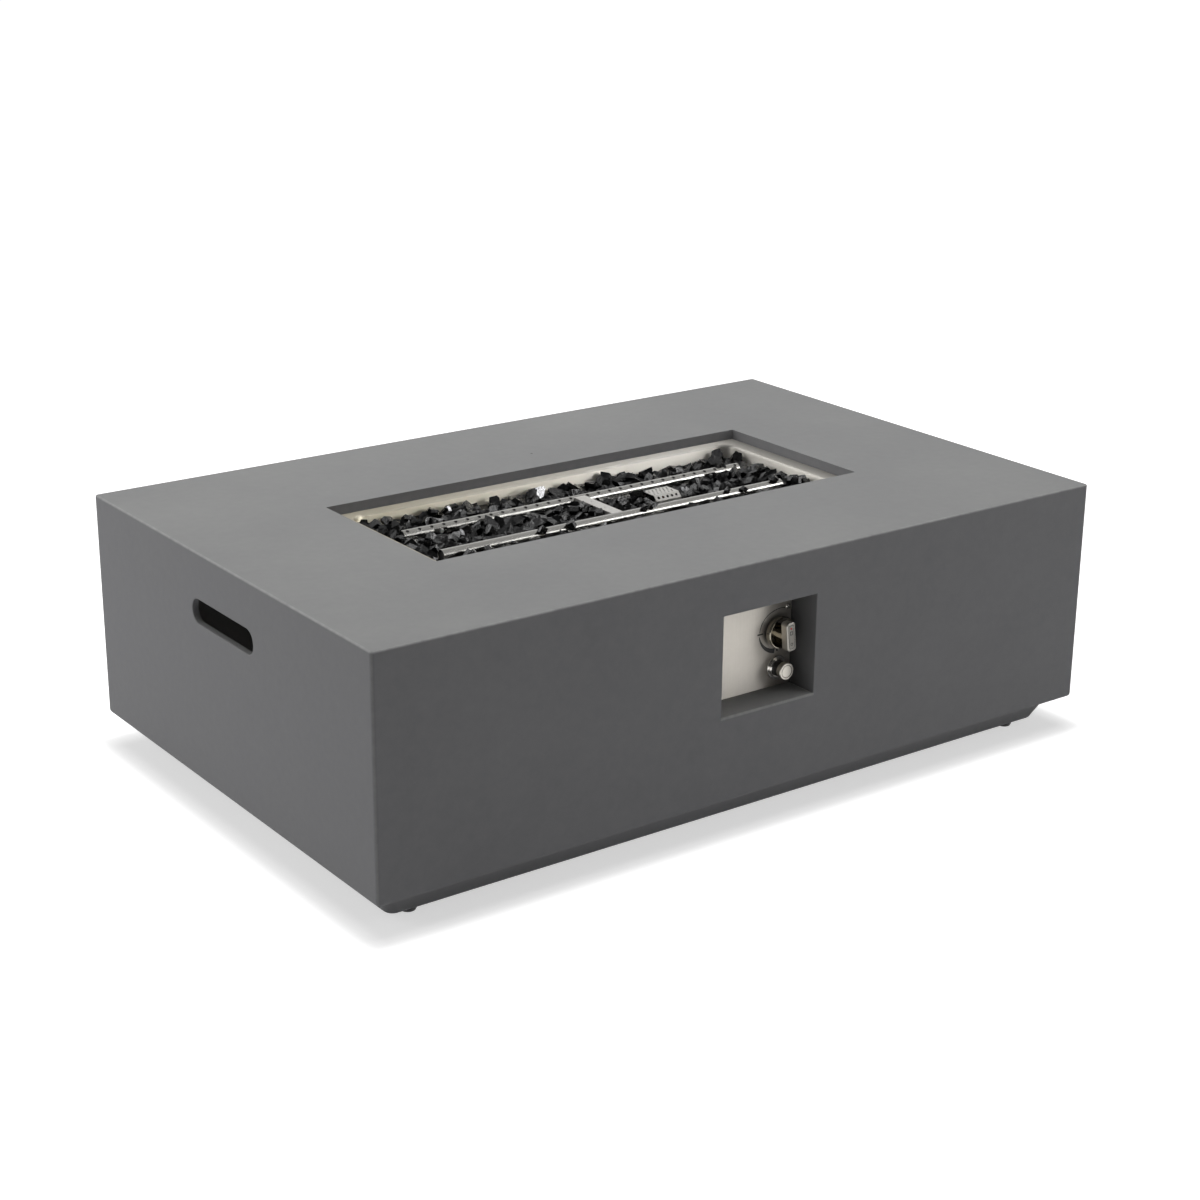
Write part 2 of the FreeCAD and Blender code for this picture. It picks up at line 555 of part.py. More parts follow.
def make_pan():
    """The stainless drop-in pan, pressed from one sheet."""
    body = new_body("pan_pressing")
    outer_length = f"({TUB_LENGTH} + 2 * dims.pan_sheet)"
    outer_width = f"({TUB_WIDTH} + 2 * dims.pan_sheet)"
    sketch = new_sketch(body, "tub_outline", z=PAN_UNDER)
    rectangle(sketch, outer_length, outer_width)
    pad(body, sketch, f"{LEDGE} - {PAN_UNDER}")
    sketch = new_sketch(body, "flange_outline", z=LEDGE)
    rectangle(sketch, "dims.opening_length - 2 * dims.pan_gap",
              "dims.opening_width - 2 * dims.pan_gap")
    pad(body, sketch, "dims.pan_sheet")
    sketch = new_sketch(body, "tub_inside", z=PAN_TOP)
    rectangle(sketch, TUB_LENGTH, TUB_WIDTH)
    pocket(body, sketch, "dims.pan_depth")
    half_outer = (f"{outer_length} / 2", f"{outer_width} / 2")
    half_inner = (f"{TUB_LENGTH} / 2", f"{TUB_WIDTH} / 2")
    fillet(body, "dims.pan_corner_radius", upright_edge(PAN_FLOOR, PAN_TOP))
    fillet(body, "dims.pan_corner_radius + dims.pan_sheet", upright_edge(PAN_UNDER, LEDGE))
    fillet(body, "dims.pan_under_bend", level_edge(LEDGE, *half_outer))
    fillet(body, "dims.pan_under_bend + dims.pan_sheet", level_edge(PAN_TOP, *half_inner))
    fillet(body, "dims.pan_floor_bend", level_edge(PAN_FLOOR, *half_inner))
    fillet(body, "dims.pan_floor_bend + dims.pan_sheet", level_edge(PAN_UNDER, *half_outer))

    sketch = new_sketch(body, "pan_holes", z=PAN_FLOOR)
    circle(sketch, "dims.nipple_radius + dims.running_gap * 4")
    for side in (-1, 1):
        circle(sketch, "dims.lead_hole_radius", f"dims.pilot_shift + {side} * dims.probe_offset")
        circle(sketch, "dims.screw_radius + dims.running_gap", "dims.pilot_shift",
               f"{side} * ({HOOD_HALF} + dims.hood_flange / 2)")
        for end in (-1, 1):
            circle(sketch, "dims.screw_radius + dims.running_gap", f"{end} * dims.stand_shift",
                   f"{side} * ({STAND_Y} - dims.stand_foot / 2)")
            circle(sketch, "dims.drain_radius", f"{end} * dims.drain_shift",
                   f"{side} * dims.tube_spacing * 0.9")
    pocket(body, sketch, "dims.pan_sheet")
    node(body, "burner_pan")


def make_tubes():
    """The two ported burner tubes, their end caps and the screws in their sides."""
    caps, screws = [], []
    for name, side in (("front", -1), ("back", 1)):
        y = f"{side} * {TUBE_Y}"
        body = new_body(f"{name}_tube_stock")
        sketch = new_sketch(body, f"{name}_tube_ring", "YZ_Plane", z="-dims.tube_length / 2")
        circle(sketch, TUBE_RADIUS)
        circle(sketch, f"{TUBE_RADIUS} - dims.tube_sheet")
        pad(body, sketch, "dims.tube_length")
        sketch = new_sketch(body, f"{name}_port", z=TUBE_RADIUS)
        circle(sketch, "dims.port_diameter / 2", "dims.port_first")
        first_port = pocket(body, sketch, TUBE_RADIUS)
        ports = body.newObject("PartDesign::MultiTransform", f"{name}_ports")
        ports.Originals = [first_port]
        row = body.newObject("PartDesign::LinearPattern", f"{name}_port_row")
        row.Direction = (sketch, ["H_Axis"])
        row.setExpression("Length", "dims.port_pitch * (dims.port_count - 1)")
        row.setExpression("Occurrences", "dims.port_count")
        other_half = body.newObject("PartDesign::Mirrored", f"{name}_port_mirror")
        other_half.MirrorPlane = (plane_of(body, "YZ_Plane"), [""])
        ports.Transformations = [row, other_half]
        body.Tip = ports
        tilt = Rotation(Vector(1, 0, 0), side * val("dims.port_tilt"))
        place(body, "0", y, TUBE_AXIS, tilt)
        side_holes = [rod(f"{name}_feed_hole", "dims.feed_hole_radius", TUBE_RADIUS, "0", y,
                          TUBE_AXIS, TO_FRONT if side > 0 else TO_BACK)]
        for end in (-1, 1):
            x = f"{end} * dims.stand_shift"
            # The screw's shank points from the middle of the burner out into the tube
            turn = TO_FRONT if side > 0 else TO_BACK
            hole = rod(f"{name}_side_hole", "dims.screw_radius + dims.running_gap",
                       TUBE_RADIUS, x, y, TUBE_AXIS, turn)
            side_holes.append(hole)
            head_y = f"{side} * ({STAND_Y} - dims.stand_sheet)"
            screws.append(screw(f"{name}_tube_screw", "dims.tube_screw_length", x, head_y,
                                TUBE_AXIS, turn))
            inward = f"(dims.tube_length / 2 - dims.cap_recess - dims.cap_thickness * {end > 0:d})"
            caps.append(rod(f"{name}_cap", f"{TUBE_RADIUS} - dims.tube_sheet - dims.running_gap",
                            "dims.cap_thickness", f"{end} * {inward}", y, TUBE_AXIS,
                            Rotation(Vector(0, 1, 0), 90)))
        node(cut(f"{name}_tube_cut", body, fuse(f"{name}_holes", side_holes)),
             f"burner_{name}_tube")
    node(group("caps", caps), "tube_end_caps")
    node(group("side_screws", screws), "tube_screws")


def make_cross_tube():
    """The feed bar between the tubes and the pipe nipple that carries it through the pan."""
    outer = block("cross_outer", "dims.cross_width", "dims.tube_spacing", "dims.cross_height",
                  "-dims.cross_width / 2", f"-{TUBE_Y}", CROSS_BASE)
    inner = block("cross_inner", "dims.cross_width - 2 * dims.cross_sheet", "dims.tube_spacing",
                  "dims.cross_height - 2 * dims.cross_sheet",
                  "-dims.cross_width / 2 + dims.cross_sheet", f"-{TUBE_Y}",
                  f"{CROSS_BASE} + dims.cross_sheet")
    tools = [inner]
    for side in (-1, 1):
        tools.append(rod("cope", f"{TUBE_RADIUS} + dims.running_gap", "dims.cross_width * 2",
                         "dims.cross_width", f"{side} * {TUBE_Y}", TUBE_AXIS, TO_LEFT))
        tools.append(rod("cross_port", "dims.cross_port_diameter / 2", "dims.cross_sheet * 2",
                         "0", f"{side} * dims.cross_port_spacing / 2",
                         f"{CROSS_TOP} - dims.cross_sheet * 1.5"))
    tools.append(rod("cross_feed", "dims.nipple_bore", "dims.cross_sheet * 2", "0", "0",
                     f"{CROSS_BASE} - dims.cross_sheet / 2"))
    node(cut("cross_cut", outer, fuse("cross_tools", tools)), "burner_cross_tube")

    section = [
        ("dims.nipple_bore", NIPPLE_BASE), ("dims.nipple_radius", NIPPLE_BASE),
        ("dims.nipple_radius", CROSS_BASE), ("dims.nipple_bore", CROSS_BASE),
    ]
    node(turned("nipple", section, "0", "0", "0"), "burner_inlet_nipple")
    nuts = []
    for name, base in (("upper", PAN_FLOOR), ("lower", f"{PAN_UNDER} - dims.locknut_thickness")):
        nut = hexagon(f"{name}_locknut", "dims.locknut_flats", "dims.locknut_thickness",
                      "0", "0", base)
        bore = rod(f"{name}_locknut_bore", "dims.nipple_radius + dims.running_gap",
                   "dims.locknut_thickness", "0", "0", base)
        nuts.append(cut(f"{name}_locknut_cut", nut, bore))
    node(group("locknuts", nuts), "inlet_locknuts")


def make_mixer():
    """The air mixer on the nipple's tail and the brass orifice elbow under it."""
    section = [
        ("dims.screw_radius", MIXER_BASE), ("dims.mixer_radius", MIXER_BASE),
        ("dims.mixer_radius", MIXER_TOP),
        ("dims.nipple_radius + dims.running_gap", MIXER_TOP),
        ("dims.nipple_radius + dims.running_gap", f"{MIXER_BASE} + dims.mixer_floor"),
        ("dims.screw_radius", f"{MIXER_BASE} + dims.mixer_floor"),
    ]
    body = turned("mixer_stock", section, "0", "0", "0")
    window = block("mixer_window", "dims.window_width", "dims.mixer_radius * 2",
                   "dims.window_height", "-dims.window_width / 2", "-dims.mixer_radius",
                   f"{MIXER_BASE} + dims.mixer_floor")
    node(cut("mixer_cut", body, window), "air_mixer")
    upright = rod("elbow_post", "dims.elbow_radius", "dims.elbow_height", "0", "0", ELBOW_BASE)
    reach = rod("elbow_stub", "dims.stub_radius", "dims.elbow_reach", "0", "0", ELBOW_AXIS,
                TO_FRONT)
    node(fuse("elbow_casting", [upright, reach]), "orifice_elbow")


def make_stands():
    """Four angle brackets that carry the tubes, with their screws and nuts."""
    brackets, screws, nuts = [], [], []
    sites = []
    for side in (-1, 1):
        for end in (-1, 1):
            x = f"{end} * dims.stand_shift"
            foot_y = f"{side} * ({STAND_Y} - dims.stand_foot / 2)"
            foot = block("stand_foot", "dims.stand_width", "dims.stand_foot", "dims.stand_sheet",
                         f"{x} - dims.stand_width / 2", f"{foot_y} - dims.stand_foot / 2",
                         PAN_FLOOR)
            wall_y = f"{side} * ({STAND_Y} - dims.stand_sheet / 2) - dims.stand_sheet / 2"
            wall = block("stand_wall", "dims.stand_width", "dims.stand_sheet",
                         f"{TUBE_AXIS} + dims.stand_over_axis - {PAN_FLOOR}",
                         f"{x} - dims.stand_width / 2", wall_y, PAN_FLOOR)
            holes = [
                rod("stand_floor_hole", "dims.screw_radius + dims.running_gap",
                    "dims.stand_sheet * 2", x, foot_y, PAN_FLOOR),
                rod("stand_wall_hole", "dims.screw_radius + dims.running_gap",
                    "dims.stand_sheet * 3", x, f"{wall_y} + dims.stand_sheet * 2", TUBE_AXIS,
                    TO_FRONT),
            ]
            bracket = fuse("stand_angle", [foot, wall])
            brackets.append(cut("stand_drilled", bracket, fuse("stand_holes", holes)))
            sites.append((x, foot_y, f"{PAN_FLOOR} + dims.stand_sheet"))
        flange_y = f"{side} * ({HOOD_HALF} + dims.hood_flange / 2)"
        sites.append(("dims.pilot_shift", flange_y, f"{PAN_FLOOR} + dims.hood_sheet"))
    for x, y, seat in sites:
        screws.append(screw("floor_screw", "dims.burner_screw_length", x, y, seat))
        nut_base = f"{PAN_UNDER} - dims.small_nut_thickness"
        nut = hexagon("floor_nut", "dims.small_nut_flats", "dims.small_nut_thickness", x, y,
                      nut_base)
        bore = rod("floor_nut_bore", "dims.screw_radius + dims.running_gap",
                   "dims.small_nut_thickness", x, y, nut_base)
        nuts.append(cut("floor_nut_cut", nut, bore))
    node(group("stands", brackets), "burner_stands")
    node(group("floor_screws", screws), "burner_screws")
    node(group("floor_nuts", nuts), "burner_nuts")


def make_hood():
    """The perforated pilot hood, folded from one strip, open at both ends."""
    body = new_body("hood_strip")
    sketch = new_sketch(body, "hood_fold", "YZ_Plane",
                        z="dims.pilot_shift - dims.hood_length / 2")
    top, low = TUBE_TOP, f"{TUBE_TOP} - dims.hood_slope"
    half_top, sheet_low = "dims.hood_top_width / 2", f"{PAN_FLOOR} + dims.hood_sheet"
    skew = "dims.hood_sheet * 0.414"
    half = [
        (f"{HOOD_HALF} + dims.hood_flange", PAN_FLOOR),
        (f"{HOOD_HALF} + dims.hood_flange", sheet_low),
        (HOOD_HALF, sheet_low), (HOOD_HALF, low), (half_top, top),
    ]
    inner = [
        (f"{half_top} - {skew}", f"{top} - dims.hood_sheet"),
        (f"{HOOD_HALF} - dims.hood_sheet", f"{low} - {skew}"),
        (f"{HOOD_HALF} - dims.hood_sheet", PAN_FLOOR),
    ]
    mirrored = [(f"-({y})", z) for y, z in reversed(half)]
    inner_mirrored = [(f"-({y})", z) for y, z in reversed(inner)]
    outline(sketch, half + mirrored + inner_mirrored + inner)
    pad(body, sketch, "dims.hood_length")

    sketch = new_sketch(body, "hood_top_holes", z=TUBE_TOP)
    rows, columns = 4, 6
    row_pitch = "dims.hood_top_width / 4.6"
    column_pitch = "dims.hood_length / 7"
    for r in range(rows):
        stagger = 0.25 if r % 2 else -0.25
        for c in range(columns):
            x = f"dims.pilot_shift + ({c - (columns - 1) / 2 + stagger}) * {column_pitch}"
            y = f"({r - (rows - 1) / 2}) * {row_pitch}"
            circle(sketch, "dims.hood_hole / 2", x, y)
    pocket(body, sketch, "dims.hood_sheet * 1.5")
    holes = []
    for side in (-1, 1):
        lean = Rotation(Vector(1, 0, 0), -side * 45)
        for c in range(5):
            x = f"dims.pilot_shift + ({c - 2}) * dims.hood_length / 5.6"
            y = f"{side} * ({HOOD_HALF} - dims.hood_slope / 2 - 2)"
            holes.append(rod("slope_hole", "dims.hood_slot_hole / 2", "dims.hood_slope", x, y,
                             f"{TUBE_TOP} - dims.hood_slope / 2 - 2", lean))
        holes.append(rod("flange_hole", "dims.screw_radius + dims.running_gap",
                         "dims.hood_sheet * 2", "dims.pilot_shift",
                         f"{side} * ({HOOD_HALF} + dims.hood_flange / 2)", PAN_FLOOR))
    node(cut("hood_cut", body, fuse("hood_tools", holes)), "pilot_hood")


def make_pilot():
    """Bracket, spark electrode with its ceramic, and thermocouple probe inside the hood."""
    left = "dims.pilot_shift - dims.bracket_length / 2"
    outer = block("bracket_outer", "dims.bracket_length", "dims.bracket_width",
                  "dims.bracket_height", left, "-dims.bracket_width / 2", PAN_FLOOR)
    inner = block("bracket_inner", "dims.bracket_length - 2 * dims.bracket_sheet",
                  "dims.bracket_width", "dims.bracket_height - dims.bracket_sheet",
                  f"{left} + dims.bracket_sheet", "-dims.bracket_width / 2", PAN_FLOOR)
    electrode_x = "dims.pilot_shift - dims.probe_offset"
    probe_x = "dims.pilot_shift + dims.probe_offset"
    shelf = f"({PAN_FLOOR} + dims.bracket_height)"
    holes = [
        inner,
        rod("insulator_hole", "dims.insulator_radius + dims.running_gap",
            "dims.bracket_sheet * 3", electrode_x, "0", f"{shelf} - dims.bracket_sheet * 2"),
        rod("probe_hole", "dims.probe_radius + dims.running_gap", "dims.bracket_sheet * 3",
            probe_x, "0", f"{shelf} - dims.bracket_sheet * 2"),
    ]
    node(cut("bracket_cut", outer, fuse("bracket_tools", holes)), "pilot_bracket")

    ceramic_top = f"({TUBE_TOP} - dims.hood_sheet - dims.electrode_tip - 4)"
    ceramic_base = f"({ceramic_top} - dims.insulator_length)"
    rod_radius = "dims.electrode_radius + dims.running_gap"
    section = [
        (rod_radius, ceramic_base), ("dims.insulator_radius", ceramic_base),
        ("dims.insulator_radius", f"{ceramic_top} - 4"),
        ("dims.insulator_radius - 1", ceramic_top), (rod_radius, ceramic_top),
    ]
    node(turned("ceramic", section, electrode_x, "0", "0"), "electrode_insulator")
    rod_base = f"({ceramic_base} - 4)"
    node(rod("electrode_wire", "dims.electrode_radius",
             f"{ceramic_top} + dims.electrode_tip - {rod_base}", electrode_x, "0", rod_base),
         "spark_electrode")
    probe_top = f"({TUBE_TOP} - dims.hood_sheet - 3)"
    probe_base = f"({probe_top} - dims.probe_length)"
    section = [
        ("0", probe_base), ("dims.probe_radius", probe_base),
        ("dims.probe_radius", f"{probe_top} - dims.probe_tip"),
        ("dims.probe_radius - 0.8", f"{probe_top} - dims.probe_tip"),
        ("dims.probe_radius - 0.8", f"{probe_top} - 2"), ("0", probe_top),
    ]
    node(turned("probe", section, probe_x, "0", "0"), "thermocouple_probe")
    return (electrode_x, rod_base), (probe_x, probe_base)


def make_panel():
    """The control plate at the back of the recess, with its screws."""
    body = new_body("plate_blank")
    sketch = new_sketch(body, "plate_outline", "XZ_Plane")
    rectangle(sketch, "dims.recess_width - 2 * dims.plate_gap",
              "dims.recess_height - 2 * dims.plate_gap")
    pad(body, sketch, "dims.plate_sheet")
    sketch = new_sketch(body, "plate_holes", "XZ_Plane", z="dims.plate_sheet")
    circle(sketch, "dims.stem_radius + dims.stud_room", "dims.knob_dx", "dims.knob_dz")
    circle(sketch, "dims.barrel_radius + dims.barrel_hole_clearance", "dims.knob_dx",
           "dims.igniter_dz")
    for side_z in (-1, 1):
        circle(sketch, "dims.screw_radius + dims.running_gap", "dims.knob_dx",
               f"dims.knob_dz + {side_z} * dims.valve_screw_offset")
    for x, z in PLATE_SCREWS:
        circle(sketch, "dims.screw_radius + dims.running_gap", x, z)
    pocket(body, sketch, "dims.plate_sheet")
    place(body, "dims.recess_shift", f"{PANEL_Y} + dims.plate_sheet", RECESS_Z)
    node(body, "control_plate")
    corner, valve = [], []
    for side_z in (-1, 1):
        valve.append(screw("valve_screw", "dims.plate_sheet + dims.valve_flange_thickness",
                           KNOB_X, PANEL_Y, f"{KNOB_Z} + {side_z} * dims.valve_screw_offset",
                           TO_FRONT))
    for x, z in PLATE_SCREWS:
        corner.append(screw("plate_screw", "dims.plate_sheet + dims.lip_thickness - 1",
                            f"dims.recess_shift + {x}", PANEL_Y, f"{RECESS_Z} + {z}", TO_FRONT))
    node(group("corner_screws", corner), "plate_screws")
    node(group("flange_screws", valve), "valve_screws")


def panel_rod(name, radius, low, high, z=KNOB_Z):
    """A round bar square to the control plate, between two heights above its front."""
    return rod(name, radius, f"{high} - ({low})", KNOB_X, f"{PANEL_Y} - ({low})", z, TO_FRONT)


def make_valve():
    """The brass gas valve behind the plate, its turning plug, stem and stem spring."""
    back = "-dims.plate_sheet"
    flange_back = f"({back} - dims.valve_flange_thickness)"
    block_back = f"({flange_back} - dims.valve_depth)"
    flange = block("valve_flange", "dims.valve_flange_width", "dims.valve_flange_thickness",
                   "dims.valve_flange_height", f"{KNOB_X} - dims.valve_flange_width / 2",
                   f"{PANEL_Y} + dims.plate_sheet", f"{KNOB_Z} - dims.valve_flange_height / 2")
    casting = block("valve_block", "dims.valve_width", "dims.valve_depth", "dims.valve_height",
                    f"{KNOB_X} - dims.valve_width / 2", f"{PANEL_Y} - {flange_back}",
                    f"{KNOB_Z} - dims.valve_height / 2")
    inlet = rod("valve_inlet", "dims.stub_radius", "dims.stub_length + 1",
                f"{KNOB_X} - dims.valve_width / 2 + 1", STUB_Y, KNOB_Z, TO_LEFT)
    outlet = rod("valve_outlet", "dims.stub_radius", "dims.stub_length + 1",
                 f"{KNOB_X} + dims.outlet_dx", f"{VALVE_BACK} - 1",
                 f"{KNOB_Z} + dims.outlet_dz", TO_BACK)
    body = fuse("valve_casting", [flange, casting, inlet, outlet])
    tools = [
        panel_rod("stem_hole", "dims.stem_radius + dims.stud_room / 2",
                  "-dims.plug_start - 1", back),
        panel_rod("plug_hole", "dims.plug_radius + dims.running_gap",
                  "-dims.plug_start - dims.plug_length", "-dims.plug_start"),
    ]
    for side in (-1, 1):
        tools.append(panel_rod("flange_hole", "dims.screw_radius + dims.running_gap",
                               flange_back, back,
                               f"{KNOB_Z} + {side} * dims.valve_screw_offset"))
    node(cut("valve_cut", body, fuse("valve_tools", tools)), "gas_valve_body")

    bore = "dims.stem_radius + dims.running_gap"
    plug_face = "-dims.plug_start - dims.running_gap"
    plug_back = "-dims.plug_start - dims.plug_length + dims.running_gap"
    plug_seat = "-dims.plug_start - dims.plug_bore_depth"
    section = [
        ("0", plug_back), ("dims.plug_radius", plug_back), ("dims.plug_radius", plug_face),
        (bore, plug_face), (bore, plug_seat), ("0", plug_seat),
    ]
    node(turned("plug", section, KNOB_X, PANEL_Y, KNOB_Z, TO_FRONT), "valve_plug")
    section = [
        ("dims.stem_radius - 1.2", plug_seat), ("dims.stem_radius - 0.4", plug_seat),
        ("dims.stem_radius - 0.4", "-dims.stem_tail"),
        ("dims.stem_radius - 1.2", "-dims.stem_tail"),
    ]
    node(turned("spring", section, KNOB_X, PANEL_Y, KNOB_Z, TO_FRONT), "stem_spring")

    stem = panel_rod("stem_bar", "dims.stem_radius", "-dims.stem_tail", "dims.stem_reach")
    flat = block("stem_flat_tool", "dims.stem_radius", "dims.stem_reach - dims.hub_start",
                 "dims.stem_radius * 2", f"{KNOB_X} + dims.stem_flat",
                 f"{PANEL_Y} - dims.stem_reach", f"{KNOB_Z} - dims.stem_radius")
    node(cut("stem_cut", stem, flat), "valve_stem")


def make_knob():
    """The plated knob: dished skirt and bar grip in one casting, face insert and red dot."""
    section = [
        ("0", "dims.hub_start"), ("dims.hub_radius", "dims.hub_start"),
        ("dims.hub_radius", "dims.knob_web"),
        ("dims.knob_radius - dims.knob_wall", "dims.knob_web"),
        ("dims.knob_radius - dims.knob_wall", "dims.knob_gap"),
        ("dims.knob_radius - 0.6", "dims.knob_gap"), ("dims.knob_radius", "dims.knob_rim - 1"),
        ("dims.knob_radius - 0.8", "dims.knob_rim"),
        ("dims.knob_radius - dims.knob_wall", "dims.knob_rim"),
        ("dims.grip_width", "dims.knob_dish + 0.4"), ("dims.hub_radius", "dims.knob_dish"),
        ("dims.hub_radius - 1", "dims.grip_base + 1"), ("0", "dims.grip_base + 1"),
    ]
    skirt = turned("knob_skirt", section, KNOB_X, PANEL_Y, KNOB_Z, TO_FRONT)
    lean = Rotation(Vector(0, -1, 0), val("dims.knob_lean"))
    bar = new_body("knob_bar")
    sketch = new_sketch(bar, "bar_outline", "XZ_Plane", z="dims.grip_base")
    rectangle(sketch, "dims.grip_width", "dims.grip_span")
    pad(bar, sketch, "dims.grip_face - dims.grip_base")
    face, heel = -val("dims.grip_face"), -val("dims.grip_base")
    fillet(bar, "dims.grip_width * 0.3", lambda e: e.BoundBox.XLength < 0.01
           and e.BoundBox.ZLength < 0.01)
    fillet(bar, "dims.grip_edge", lambda e: near(e.BoundBox.YMin, face)
           and near(e.BoundBox.YMax, face))
    fillet(bar, "dims.grip_edge", lambda e: near(e.BoundBox.YMin, heel)
           and near(e.BoundBox.YMax, heel))
    sketch = new_sketch(bar, "insert_pocket", "XZ_Plane", z="dims.grip_face")
    rectangle(sketch, "dims.insert_width", "dims.insert_span")
    pocket(bar, sketch, "dims.insert_depth")
    place(bar, KNOB_X, PANEL_Y, KNOB_Z, lean)
    hole = panel_rod("knob_bore", "dims.stem_radius + dims.running_gap", "dims.hub_start - 1",
                     "dims.stem_reach + dims.running_gap")
    keep = block("knob_flat", "dims.stem_radius", "dims.stem_reach + 2", "dims.stem_radius * 2",
                 f"{KNOB_X} + dims.stem_flat + dims.running_gap",
                 f"{PANEL_Y} - dims.stem_reach - 1", f"{KNOB_Z} - dims.stem_radius")
    socket = cut("knob_socket", hole, keep)
    node(cut("knob_cut", fuse("knob_casting", [skirt, bar]), socket), "knob")

    insert = new_body("insert_blank")
    sketch = new_sketch(insert, "insert_outline", "XZ_Plane",
                        z="dims.grip_face - dims.insert_depth")
    rectangle(sketch, "dims.insert_width - 2 * dims.running_gap",
              "dims.insert_span - 2 * dims.running_gap")
    pad(insert, sketch, "dims.insert_depth")
    place(insert, KNOB_X, PANEL_Y, KNOB_Z, lean)
    node(insert, "knob_face_insert")
    dot = rod("dot_disc", "dims.dot_radius", "dims.dot_height",
              f"{KNOB_X} - dims.dot_offset * sin(dims.knob_lean)", f"{PANEL_Y} - dims.grip_face",
              f"{KNOB_Z} + dims.dot_offset * cos(dims.knob_lean)", TO_FRONT)
    node(dot, "knob_dot")


def make_igniter():
    """The battery push-button igniter: housing, nut, cell, spring, plunger and button."""
    cell_room = "dims.cell_radius + dims.cell_gap"

    def part(name, section, label):
        node(turned(name, section, KNOB_X, PANEL_Y, IGNITER_Z, TO_FRONT), label)

    part("housing", [
        ("0", "-dims.housing_depth"), ("dims.housing_radius", "-dims.housing_depth"),
        ("dims.housing_radius", "-dims.plate_sheet"), ("dims.barrel_radius", "-dims.plate_sheet"),
        ("dims.barrel_radius", "dims.barrel_reach"), (cell_room, "dims.barrel_reach"),
        (cell_room, "-dims.cell_seat"), ("0", "-dims.cell_seat")], "igniter_housing")
    thread = "dims.barrel_radius + dims.running_gap"
    part("bezel", [
        (thread, "0"), ("dims.bezel_radius - 0.6", "0"), ("dims.bezel_radius", "0.8"),
        ("dims.bezel_radius", "dims.bezel_base - 0.8"),
        ("dims.bezel_radius - 0.8", "dims.bezel_base"),
        ("dims.bezel_top_radius", "dims.bezel_base"),
        ("dims.bezel_top_radius", "dims.bezel_height - 1"),
        ("dims.bezel_top_radius - 1", "dims.bezel_height"), (thread, "dims.bezel_height")],
        "igniter_nut")
    cell_top = "(dims.cell_length - dims.cell_seat)"
    contact = f"({cell_top} + dims.cell_nipple)"
    part("cell", [
        ("0", "-dims.cell_seat"), ("dims.cell_radius", "-dims.cell_seat"),
        ("dims.cell_radius", cell_top), ("dims.cell_nipple_radius", cell_top),
        ("dims.cell_nipple_radius", contact), ("0", contact)], "aa_battery")
    part("button_spring", [
        ("dims.cell_radius - 2", contact), ("dims.cell_radius - 1", contact),
        ("dims.cell_radius - 1", "dims.plunger_start"),
        ("dims.cell_radius - 2", "dims.plunger_start")], "igniter_spring")
    roof = "(dims.button_face - dims.button_roof)"
    part("plunger", [
        ("0", "dims.plunger_start"), ("dims.cell_radius", "dims.plunger_start"),
        ("dims.cell_radius", roof), ("0", roof)], "igniter_plunger")
    groove_in, groove_out = "dims.groove_radius", "dims.groove_radius + dims.groove_width"
    groove_floor = "dims.button_face - dims.groove_depth"
    part("button", [
        ("dims.barrel_radius + dims.running_gap", "dims.button_start"),
        ("dims.button_radius", "dims.button_start"),
        ("dims.button_radius", "dims.button_face - 1"),
        ("dims.button_radius - 1", "dims.button_face"), (groove_out, "dims.button_face"),
        (groove_out, groove_floor), (groove_in, groove_floor), (groove_in, "dims.button_face"),
        ("0", "dims.button_face"), ("0", roof),
        ("dims.barrel_radius + dims.running_gap", roof)], "igniter_button")
    tab = block("terminal_tab", "dims.terminal_width", "dims.terminal_length",
                "dims.terminal_sheet", f"{KNOB_X} - dims.terminal_width / 2",
                f"{PANEL_Y} + dims.housing_depth", f"{IGNITER_Z} - dims.terminal_sheet / 2")
    node(tab, "igniter_terminal")


def pipe_nut(name, x, y, z, turn):
    """A swivel nut that starts short of a stub's end and runs on over the pipe."""
    nut = hexagon(name, "dims.pipe_nut_flats", "dims.pipe_nut_length", x, y, z, turn)
    bore = rod(name + "_bore", "dims.stub_radius + dims.running_gap", "dims.pipe_nut_length",
               x, y, z, turn)
    return cut(name + "_cut", nut, bore)


